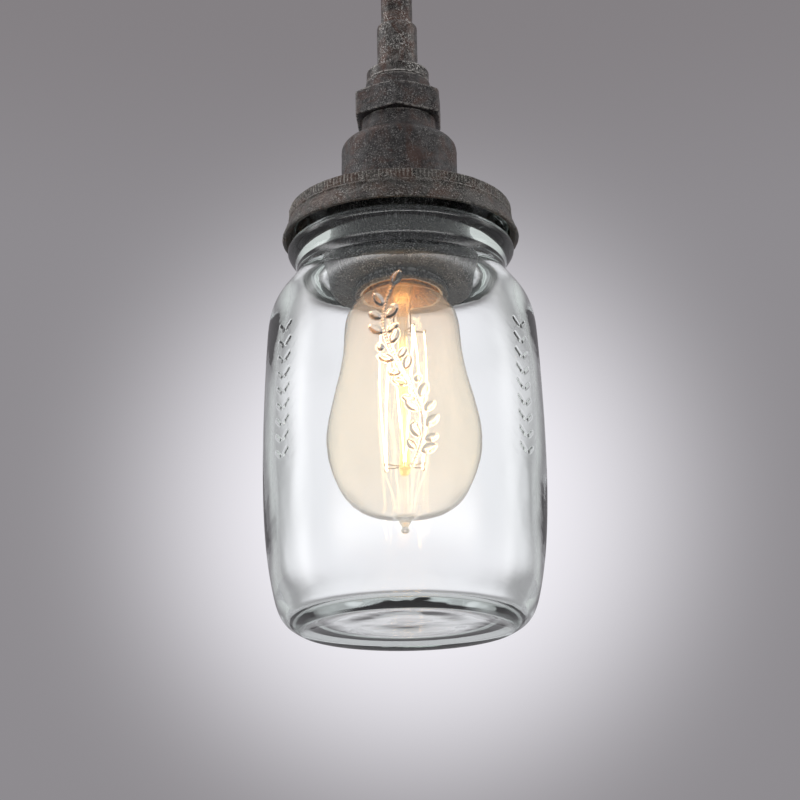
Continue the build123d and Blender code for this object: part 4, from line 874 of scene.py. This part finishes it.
def make_band():
    """Lid band: knurled edge, raised bead, flared skirt and its thread inside."""
    top = LID_TOP
    outline = [(38.0, top - 0.8)]
    outline += straight_run((38.0, top - 0.8), (46.2, top - 0.8), 1.2) + [(46.2, top - 0.8)]
    outline += straight_run((46.2, top - 0.8), (46.2, RIM + 2.2), 0.34) + [(46.2, RIM + 2.2)]
    outline += straight_run((46.2, RIM + 2.2), (48.2, RIM + 0.2), 0.5)
    skirt = [(48.2, 0.1), (48.6, 0.0), (49.3, 0.0), (49.66, 0.12), (49.86, 0.5), (49.78, 1.0), (49.45, 1.8),
             (48.95, 3.0), (48.4, 4.4), (47.85, 5.6), (47.35, 6.9), (47.0, 7.75), (46.92, 8.2),
             (47.0, 8.42), (47.18, 8.58), (47.28, 8.8), (47.18, 9.02), (47.0, 9.18), (46.85, 9.4)]
    outline += smooth_run([(r, RIM + z) for r, z in skirt], 0.22)
    outline += straight_run((46.85, RIM + 9.4), (46.85, top - 0.55), 0.5)
    for step in range(7):
        angle = math.pi / 2 * step / 6
        outline.append((46.3 + 0.55 * math.cos(angle), top - 0.55 + 0.55 * math.sin(angle)))
    outline += straight_run((46.3, top), (38.3, top), 0.8)
    outline += [(38.3, top), (38.06, top - 0.12), (38.0, top - 0.4)]
    inside_end = next(i for i, p in enumerate(outline) if p[0] > 47.5)

    def shape(angle, row, radius, height):
        if 0 < row < inside_end and abs(radius - 46.2) < 0.01:
            rise = height - (RIM + 2.7 + THREAD_PITCH * angle / (2 * math.pi))
            fade = min(1.0, angle / 0.25, (2 * math.pi - angle) / 0.25)
            return radius - 1.5 * fade * thread_share(rise), height
        return radius, height

    verts, faces = turned(outline, 360, shape=shape)
    verts = cast_skin(verts, 0.09, 3.4, 31.0)
    piece = mesh_object("lid_band", verts, faces, FINISHES["band_iron"])
    settled(piece, "lid_ring", "aged_iron", "screw_band")
    knurl = grown("band_knurl", seed_object(), RIB_TREE, Count=176, Ring_Radius=46.6 * MM,
                  Rib_Width=1.1 * MM, Rib_Height=4.2 * MM, Middle_Height=(RIM + 11.4) * MM,
                  Taper=0.0, Unevenness=0.35, Seed=4, Finish=FINISHES["band_iron"])
    settled(knurl, "lid_ring", "aged_iron")


# Jar

JAR_WALL = 3.6
WALL_RADIUS = 57.5
INNER_FLOOR = -160.5
FLOOR_CORNER_RADIUS = 45.4
FLOOR_CORNER = 2.6
BRANCH = [(7.5 * math.sin(5.4 * t + 0.4), -114.0 + 74.0 * t) for t in [i / 60 for i in range(61)]]


def branch_leaves():
    """Leaves and berries of the branch: (along wall, height, length, width, lean)."""
    leaves = []
    berries = []
    for index in range(12):
        place = 4 + int(index * 4.4)
        x, z = BRANCH[place]
        ahead = BRANCH[place + 1]
        lean = math.atan2(ahead[1] - z, ahead[0] - x)
        side = 1 if index % 2 else -1
        for which, spread in ((side, 0.80), (-side, 1.05)):
            if which == -side and index % 3 == 2:
                berries.append((x + 3.6 * math.cos(lean + which * 1.3), z + 3.6 * math.sin(lean + which * 1.3)))
                continue
            length = 6.4 if which == side else 5.2
            angle = lean + which * spread
            reach = length / 2 + 1.3
            leaves.append((x + reach * math.cos(angle), z + reach * math.sin(angle), length,
                           0.54 * length, angle))
    x, z = BRANCH[-1]
    lean = math.atan2(z - BRANCH[-2][1], x - BRANCH[-2][0])
    leaves.append((x + 3.4 * math.cos(lean), z + 3.4 * math.sin(lean), 6.6, 3.5, lean))
    return leaves, berries


LEAVES, BERRIES = branch_leaves()
SHEAVES = []
for side in (-1, 1):
    for step in range(9):
        height = -48.0 - 6.6 * step
        for wing in (-1, 1):
            SHEAVES.append((side * 57.0 + wing * 2.7, height, 5.6, 1.8, math.pi / 2 - wing * 0.95))


def relief(along, height):
    """How far the pressed ornament stands out of the wall."""
    best = 0.0
    for x, z, length, width, lean in LEAVES:
        dx, dz = along - x, height - z
        if abs(dx) > length or abs(dz) > length:
            continue
        p = dx * math.cos(lean) + dz * math.sin(lean)
        q = -dx * math.sin(lean) + dz * math.cos(lean)
        reach = 1.0 - (2.0 * p / length) ** 2
        if reach <= 0.0:
            continue
        across = abs(q) / (0.5 * width * reach ** 0.8)
        if across < 1.0:
            best = max(best, 0.95 * (1.0 - across * across) ** 0.6 * min(1.0, 3.0 * reach))
    for x, z in BERRIES:
        away = math.hypot(along - x, height - z) / 1.35
        if away < 1.0:
            best = max(best, 0.95 * (1.0 - away * away) ** 0.6)
    for x, z, length, width, lean in SHEAVES:
        dx, dz = along - x, height - z
        if abs(dx) > length or abs(dz) > length:
            continue
        p = abs(dx * math.cos(lean) + dz * math.sin(lean))
        q = -dx * math.sin(lean) + dz * math.cos(lean)
        past = max(0.0, p - (length - width) / 2)
        away = math.hypot(past, q) / (width / 2)
        if away < 1.0:
            best = max(best, 0.32 * (1.0 - away * away))
    if abs(along) < 12.0 and -116.0 < height < -38.0:
        near = min(math.hypot(along - x, height - z) for x, z in BRANCH)
        if near < 0.55:
            best = max(best, 0.5 * (1.0 - (near / 0.55) ** 2) ** 0.6)
    return best


def near_relief(along, height, margin):
    """True close to a leaf, a berry, the branch or a dash."""
    if abs(along) < 24.0 and -122.0 < height < -32.0:
        if min(math.hypot(along - x, height - z) for x, z in BRANCH[::2]) < 0.7 + margin:
            return True
        for x, z, length, width, lean in LEAVES:
            dx, dz = along - x, height - z
            p = abs(dx * math.cos(lean) + dz * math.sin(lean))
            q = abs(-dx * math.sin(lean) + dz * math.cos(lean))
            if p < length / 2 + margin and q < width / 2 + margin:
                return True
        for x, z in BERRIES:
            if math.hypot(along - x, height - z) < 1.4 + margin:
                return True
    if 48.0 < abs(along) < 66.0:
        for x, z, length, width, lean in SHEAVES:
            dx, dz = along - x, height - z
            p = abs(dx * math.cos(lean) + dz * math.sin(lean))
            q = abs(-dx * math.sin(lean) + dz * math.cos(lean))
            if p < length / 2 + margin and q < width / 2 + margin:
                return True
    return False


def make_jar():
    """Jar of pressed glass: neck with its thread and bead, ornament and stippled foot."""
    head = [(44.3, -1.4), (47.5, -4.6), (44.2, -11.2)]
    side = [(50.6, -25.0), (56.1, -46.0), (57.7, -88.0), (57.1, -124.0), (53.6, -151.0)]
    foot_bend = [(47.8, -163.6), (43.2, -166.2)]
    outer = smooth_run(head + side + foot_bend, 1.45)
    neck = [p for p in smooth_run(head + side, 0.5) if p[1] > -14.0]
    outer = neck + [p for p in outer if p[1] < -14.8]
    under = smooth_run([(43.2, -166.2), (36.0, -164.6), (20.0, -163.8), (0.0, -163.6)], 1.5,
                       start=(-1, 0), end=(-1, 0))
    inset = []
    for index, point in enumerate(side):
        before = side[max(index - 1, 0)]
        after = side[min(index + 1, len(side) - 1)]
        size = math.hypot(after[0] - before[0], after[1] - before[1])
        inset.append((point[0] - JAR_WALL * (before[1] - after[1]) / size,
                      point[1] + JAR_WALL * (before[0] - after[0]) / size))
    corner = (FLOOR_CORNER_RADIUS, INNER_FLOOR)
    wall = smooth_run([corner] + inset[::-1] + [(40.6, -12.6), (39.9, -4.6)], 2.6, end=(0, 1))
    up = Vector((wall[1][0] - corner[0], wall[1][1] - corner[1])).normalized() * FLOOR_CORNER
    inner = [(0.0, INNER_FLOOR)] + straight_run((0.0, INNER_FLOOR), (corner[0] - FLOOR_CORNER, INNER_FLOOR), 4.0)
    for step in range(9):
        share = step / 8
        inner.append((corner[0] - (1 - share) ** 2 * FLOOR_CORNER + share ** 2 * up.x,
                      corner[1] + share ** 2 * up.y))
    inner += [p for p in wall if p[1] > corner[1] + up.y + 1.0]
    bore = straight_run((39.9, -4.6), (39.9, 8.8), 2.5)
    rim = []
    for step in range(13):
        angle = math.pi * step / 12
        rim.append((42.1 - 2.2 * math.cos(angle) * (1.0 if abs(math.cos(angle)) > 0.999 else 0.98),
                    8.8 + 1.2 * math.sin(angle)))
    outside_neck = straight_run((44.3, 8.8), (44.3, -1.4), 0.45, 0.3)
    outline = inner + bore + rim + outside_neck + outer
    outline = [p for i, p in enumerate(outline) if i == 0 or math.hypot(
        p[0] - outline[i - 1][0], p[1] - outline[i - 1][1]) > 0.12]
    outline += under[1:]
    columns = 216
    verts, faces = turned(outline, columns, closed=False)

    bm = bmesh.new()
    made = [bm.verts.new(v) for v in verts]
    for face in faces:
        bm.faces.new([made[i] for i in face])
    fine = smooth_run(head + side + foot_bend, 0.25)
    fine = sorted([p for p in fine if p[1] < -14.0 and p[1] > -162.0], key=lambda p: p[1])
    fine_z = np.array([p[1] for p in fine])
    fine_r = np.array([p[0] for p in fine])
    foot = sorted([p for p in outer if p[1] < -162.4] + under, key=lambda p: p[0])
    foot_r = np.array([p[0] for p in foot])
    foot_z = np.array([p[1] for p in foot])
    inner_limit = 1.8

    def on_wall(centre):
        radius = math.hypot(centre.x, centre.y)
        if not -160.0 < centre.z < -30.0:
            return None
        if radius < float(np.interp(centre.z, fine_z, fine_r)) - inner_limit:
            return None
        return math.atan2(centre.x, -centre.y) * WALL_RADIUS

    def on_foot(centre):
        radius = math.hypot(centre.x, centre.y)
        return 41.0 < radius < 45.4 and centre.z < -164.6

    for margin in (1.3, 0.5):
        cut = set()
        for face in bm.faces:
            centre = face.calc_center_median()
            along = on_wall(centre)
            if (along is not None and near_relief(along, centre.z, margin)) or on_foot(centre):
                cut.update(face.edges)
        bmesh.ops.subdivide_edges(bm, edges=list(cut), cuts=1, use_grid_fill=True, use_single_edge=True)

    for v in bm.verts:
        radius = math.hypot(v.co.x, v.co.y)
        if radius < 1e-6:
            continue
        angle = math.atan2(v.co.y, v.co.x)
        height = v.co.z
        along = on_wall(v.co)
        if along is not None:
            radius = float(np.interp(height, fine_z, fine_r)) + relief(along, height)
        elif -1.6 < height < 8.2 and radius > 43.5:
            start = 2.7 + (0.5 - 110.0 / 360.0) * THREAD_PITCH
            turn = (math.degrees(angle) + 110.0) % 360.0
            fade = min(1.0, turn / 14.0, (360.0 - turn) / 14.0)
            radius = 44.3 + 1.5 * fade * thread_share(height - start - THREAD_PITCH * turn / 360.0)
        elif on_foot(v.co):
            height = float(np.interp(radius, foot_r, foot_z))
            edge = max(0.0, min(1.0, (radius - 41.2) / 0.8, (45.2 - radius) / 0.8))
            height -= 0.10 * edge * max(0.0, math.sin(angle * columns))
        elif radius < float(np.interp(height, fine_z, fine_r)) - inner_limit and -158.0 < height < -16.0:
            wave = noise.noise(Vector((v.co.x / 26.0, v.co.y / 26.0, height / 34.0)))
            radius += 0.22 * wave
        v.co = Vector((radius * math.cos(angle), radius * math.sin(angle), height))
    bm.normal_update()
    mesh_verts = [v.co.copy() + Vector((0, 0, RIM)) for v in bm.verts]
    bm.verts.index_update()
    mesh_faces = [tuple(v.index for v in face.verts) for face in bm.faces]
    bm.free()
    piece = mesh_object("jar_shade", mesh_verts, mesh_faces, FINISHES["jar_glass"])
    triangles = sum(len(face) - 2 for face in mesh_faces)
    print("jar triangles", triangles)
    return settled(piece, "jar", "jar_glass", "glass_jar")


# Lamp

def make_envelope():
    """Blown lamp glass with its drawn tip and bead."""
    wall = 0.8
    flank = [(14.8, -30.2), (20.8, -36.0), (24.9, -56.7), (29.2, -80.2), (31.7, -97.7), (27.5, -113.7),
             (13.0, -125.7)]
    collar = (12.9, -27.3)
    tip = (2.3, -129.9)
    outside = smooth_run([collar] + flank + [tip], 0.9, start=(0.2, -1), end=(-0.35, -1))
    drawn = smooth_run([tip, (1.45, -131.6), (1.25, -132.4), (1.75, -133.6), (1.1, -134.9), (0.0, -135.2)], 0.3,
                       start=(-0.35, -1), end=(-1, 0))
    knots = [collar] + flank + [tip]
    inset = []
    for index, point in enumerate(knots):
        before = knots[max(index - 1, 0)]
        after = knots[min(index + 1, len(knots) - 1)]
        size = math.hypot(after[0] - before[0], after[1] - before[1])
        inset.append((point[0] - wall * (before[1] - after[1]) / size,
                      point[1] + wall * (before[0] - after[0]) / size))
    inside = smooth_run([(0.0, -128.6), (6.0, -126.9)] + inset[1:-1][::-1] + [(10.9, -26.6)], 1.1,
                        start=(1, 0), end=(-0.2, 1))
    neck = [(10.9, -22.0), (10.9, -17.0), (11.1, -16.6), (11.5, -16.6), (11.7, -17.0), (11.7, -22.0),
            (11.7, -26.6), (12.2, -27.1)]
    outline = inside + neck + outside + drawn[1:]
    outline = [(r, lamp(z)) for r, z in outline]
    verts, faces = turned(outline, 144, closed=False)
    piece = mesh_object("lamp_envelope", verts, faces, FINISHES["lamp_glass"])
    return settled(piece, "lamp", "lamp_glass", "bulb_envelope")


def make_mount():
    """Glass mount: trumpet flare, pinch and a rod with a button end."""
    knots = [(10.5, -20.4), (8.2, -22.0), (5.6, -25.5), (3.9, -31.0), (3.0, -36.5), (2.5, -39.0), (2.2, -44.0)]
    flare = smooth_run(knots, 0.6)
    rod = [(2.05, -50.0), (2.0, -60.0), (2.0, -72.0), (2.0, -84.0), (2.0, -96.0), (2.1, -103.0)]
    button = smooth_run([(2.1, -103.0), (2.4, -106.0), (2.4, -109.0), (1.5, -111.1), (0.0, -111.4)], 0.5,
                        end=(-1, 0))
    outline = [(0.0, -20.2), (4.0, -20.2), (8.0, -20.2)] + flare + rod + button[1:]
    outline = [(r, lamp(z)) for r, z in outline]
    verts, faces = turned(outline, 48, closed=False)
    piece = mesh_object("lamp_mount", verts, faces, FINISHES["mount_glass"])
    return settled(piece, "lamp", "lamp_glass", "bulb_stem")


LOOPS = 6
REACH = 9.0
UPPER_HOOK = -49.0
LOWER_HOOK = -107.5


def hook_point(reach, height, half_steps):
    angle = math.radians(half_steps * 180 / LOOPS)
    return (reach * math.cos(angle), reach * math.sin(angle), lamp(height))


def make_filament():
    """One long wire up and down over all the hooks, each strand slightly bowed."""
    points = []
    for step in range(2 * LOOPS - 1):
        down = step % 2 == 0
        first = UPPER_HOOK if down else LOWER_HOOK
        last = LOWER_HOOK if down else UPPER_HOOK
        swing = noise.noise(Vector((step * 1.7, 0.3, 0.8)))
        for share in (0.03, 0.2, 0.4, 0.6, 0.8, 0.97):
            bow = 1.1 * math.sin(math.pi * share)
            drift = 0.10 * swing * math.sin(2 * math.pi * share)
            height = first + share * (last - first)
            points.append(hook_point(REACH - 0.3 + bow, height, step + 0.06 + 0.88 * share + drift))
        points.append(hook_point(REACH - 0.4, last + (-0.55 if down else 0.55), step + 1))
    points.insert(0, hook_point(REACH - 0.3, UPPER_HOOK + 0.3, 0))
    piece = grown("lamp_filament", path_object([points]), WIRE_TREE, Wire_Radius=0.3 * MM, Sides=8,
                  Finish=FINISHES["filament_wire"])
    return settled(piece, "lamp", "filament_wire", "filament")


def make_supports():
    """Fine spokes out of the glass rod with a hook at each end."""
    paths = []
    for index in range(LOOPS):
        for height, half_step, way in ((UPPER_HOOK, 0, 1), (LOWER_HOOK, 1, -1)):
            where = 2 * index + half_step
            paths.append([
                hook_point(1.6, height, where), hook_point(5.0, height + 0.2 * way, where),
                hook_point(8.0, height, where), hook_point(9.1, height, where),
                hook_point(9.5, height + 0.6 * way, where), hook_point(9.0, height + 1.0 * way, where)])
    piece = grown("filament_hooks", path_object(paths), WIRE_TREE, Wire_Radius=0.28 * MM, Sides=8,
                  Finish=FINISHES["support_wire"])
    return settled(piece, "lamp", "filament_wire", "filament_supports")


frame["nodes"]["bulb_lead_wires"].material_slots[0].material = FINISHES["support_wire"]

make_stem()
make_coupling()
make_collar()
make_hexagon()
make_dome()
make_swivel_housing()
make_band()
make_jar()
make_envelope()
make_mount()
make_filament()
make_supports()


# Studio

def seen_share(tree):
    """One for a ray of the eye, of gloss or of glass, nought for light on the object."""
    path = tree.nodes.new("ShaderNodeLightPath")
    total = path.outputs["Is Camera Ray"]
    for name in ("Is Glossy Ray", "Is Transmission Ray"):
        node = tree.nodes.new("ShaderNodeMath")
        node.operation = "MAXIMUM"
        tree.links.new(total, node.inputs[0])
        tree.links.new(path.outputs[name], node.inputs[1])
        total = node.outputs[0]
    return total


def studio_floor():
    """Plain pale floor under the pendant."""
    f = Finish("studio_floor")
    f.set(Base_Color=paint(170, 169, 171), Roughness=0.8, Emission_Color=paint(226, 225, 229))
    share = f.tree.nodes.new("ShaderNodeMath")
    share.operation = "MULTIPLY"
    f.join(seen_share(f.tree), share.inputs[0])
    share.inputs[1].default_value = 0.44
    f.join(share.outputs[0], f.shader.inputs["Emission Strength"])
    half = 3.5
    mesh = bpy.data.meshes.new("studio_floor")
    level = -1.1
    mesh.from_pydata([(-half, -half, level), (half, -half, level), (half, half, level), (-half, half, level)],
                     [], [(0, 1, 2, 3)])
    mesh.materials.append(f.material)
    floor = bpy.data.objects.new("studio_floor", mesh)
    bpy.context.scene.collection.objects.link(floor)


POOL_RISE = math.radians(14.6)
POOL_REACH = math.radians(6.95)
GLASS_REACH = math.radians(13.0)


def studio_world():
    """Grey backdrop with a soft pool of light behind the jar, and even soft light."""
    world = bpy.data.worlds.new("studio")
    bpy.context.scene.world = world
    world.use_nodes = True
    tree = world.node_tree
    tree.nodes.clear()

    def work(operation, a, b=0.0):
        node = tree.nodes.new("ShaderNodeMath")
        node.operation = operation
        for socket, value in ((node.inputs[0], a), (node.inputs[1], b)):
            if isinstance(value, bpy.types.NodeSocket):
                tree.links.new(value, socket)
            else:
                socket.default_value = value
        return node.outputs[0]

    def mixed(share, a, b):
        node = tree.nodes.new("ShaderNodeMix")
        node.data_type = "RGBA"
        for socket, value in ((node.inputs["Factor"], share), (node.inputs["A"], a), (node.inputs["B"], b)):
            if isinstance(value, bpy.types.NodeSocket):
                tree.links.new(value, socket)
            else:
                socket.default_value = value
        return node.outputs["Result"]

    def step_up(value, low, high):
        node = tree.nodes.new("ShaderNodeMapRange")
        node.interpolation_type = "SMOOTHSTEP"
        tree.links.new(value, node.inputs["Value"])
        node.inputs["From Min"].default_value = low
        node.inputs["From Max"].default_value = high
        return node.outputs["Result"]

    place = tree.nodes.new("ShaderNodeTexCoord").outputs["Generated"]
    parts = tree.nodes.new("ShaderNodeSeparateXYZ")
    tree.links.new(place, parts.inputs[0])
    aim = tree.nodes.new("ShaderNodeVectorMath")
    aim.operation = "DOT_PRODUCT"
    aim.inputs[1].default_value = (0.006, math.cos(POOL_RISE), math.sin(POOL_RISE))
    tree.links.new(place, aim.inputs[0])
    angle = work("ARCCOSINE", aim.outputs["Value"])
    walls = mixed(step_up(parts.outputs["Z"], 0.36, 0.48), paint(142, 139, 143), paint(132, 128, 131))
    walls = mixed(step_up(angle, math.radians(18.0), math.radians(50.0)), walls, paint(182, 181, 184))
    fall = work("POWER", work("DIVIDE", angle, POOL_REACH), 3.2)
    pool = work("EXPONENT", work("MULTIPLY", fall, -1.0))
    path = tree.nodes.new("ShaderNodeLightPath")
    wide = work("EXPONENT", work("MULTIPLY", work("POWER", work("DIVIDE", angle, GLASS_REACH), 4.0), -1.0))
    pool = work("MAXIMUM", pool, work("MULTIPLY", wide, path.outputs["Is Transmission Ray"]))
    seen = mixed(pool, walls, paint(248, 246, 252))
    arch = work("POWER", work("DIVIDE", work("SUBTRACT", parts.outputs["Y"], 0.05), 0.17), 2.0)
    arch = work("MULTIPLY", work("EXPONENT", work("MULTIPLY", arch, -1.0)), step_up(parts.outputs["Z"], -0.5, 0.1))
    front = work("POWER", work("DIVIDE", work("SUBTRACT", parts.outputs["Z"], 0.06), 0.13), 2.0)
    front = work("MULTIPLY", work("EXPONENT", work("MULTIPLY", front, -1.0)),
                 step_up(work("MULTIPLY", parts.outputs["Y"], -1.0), 0.35, 0.7))
    sides = mixed(step_up(parts.outputs["X"], -0.4, 0.4), (3.6, 3.6, 3.65, 1), (2.2, 2.2, 2.2, 1))
    shine = mixed(step_up(parts.outputs["Z"], -0.45, -0.05), (0.04, 0.04, 0.04, 1), seen)
    shine = mixed(front, mixed(arch, shine, sides), (4.2, 4.2, 4.2, 1))
    edges = mixed(step_up(angle, math.radians(18.0), math.radians(45.0)), seen, paint(212, 214, 214))
    seen = mixed(path.outputs["Is Transmission Ray"], seen, edges)
    gloss = work("MULTIPLY", path.outputs["Is Glossy Ray"],
                 work("SUBTRACT", 1.0, path.outputs["Is Transmission Ray"]))
    seen = mixed(gloss, seen, shine)
    soft = mixed(step_up(parts.outputs["Z"], -0.5, 0.9), (0.06, 0.06, 0.06, 1), (0.30, 0.30, 0.31, 1))
    look = mixed(seen_share(tree), soft, seen)
    light = tree.nodes.new("ShaderNodeBackground")
    out = tree.nodes.new("ShaderNodeOutputWorld")
    tree.links.new(look, light.inputs["Color"])
    tree.links.new(light.outputs[0], out.inputs["Surface"])


def studio_lamp(name, place, aim, size, power, tint=(1.0, 1.0, 1.0)):
    """Soft rectangular lamp that points at a place."""
    light = bpy.data.lights.new(name, "AREA")
    light.shape = "RECTANGLE"
    light.size, light.size_y = size
    light.energy = power
    light.color = tint
    obj = bpy.data.objects.new(name, light)
    bpy.context.scene.collection.objects.link(obj)
    obj.location = place
    obj.rotation_euler = (Vector(aim) - Vector(place)).to_track_quat("-Z", "Y").to_euler()
    obj.visible_transmission = False
    obj.visible_glossy = False
    return obj


def filament_glow():
    """Warm light of the filament on the lampholder and the inside of the lid."""
    light = bpy.data.lights.new("filament_glow", "POINT")
    light.energy = 0.05
    light.color = (1.0, 0.44, 0.12)
    light.shadow_soft_size = 0.008
    obj = bpy.data.objects.new("filament_glow", light)
    bpy.context.scene.collection.objects.link(obj)
    obj.location = (0.0, 0.0, lamp(-31.0) * MM)
    obj.visible_transmission = False
    obj.visible_glossy = False


def photo_camera():
    """Camera below the pendant, looking a little up at it."""
    data = bpy.data.cameras.new("photo_camera")
    data.lens = 94.5
    data.sensor_width = 36.0
    camera = bpy.data.objects.new("photo_camera", data)
    bpy.context.scene.collection.objects.link(camera)
    pitch = math.radians(90 + 17.58)
    roll = math.radians(-1.0)
    camera.matrix_world = (Matrix.Translation((-0.00145, -0.8248, RIM * MM - 0.3312))
                           @ Matrix.Rotation(pitch, 4, "X") @ Matrix.Rotation(roll, 4, "Z"))
    bpy.context.scene.camera = camera


bpy.context.scene.view_settings.view_transform = "Standard"
studio_floor()
studio_world()
studio_lamp("left_strip", (-1.0, -0.12, 0.10), (0, 0, -0.30), (0.3, 1.1), 9.0)
studio_lamp("right_strip", (1.0, -0.12, 0.10), (0, 0, -0.30), (0.3, 1.1), 6.0)
studio_lamp("overhead_strip", (0.0, -0.50, 0.70), (0, 0, -0.28), (1.5, 0.3), 2.2)
filament_glow()
photo_camera()
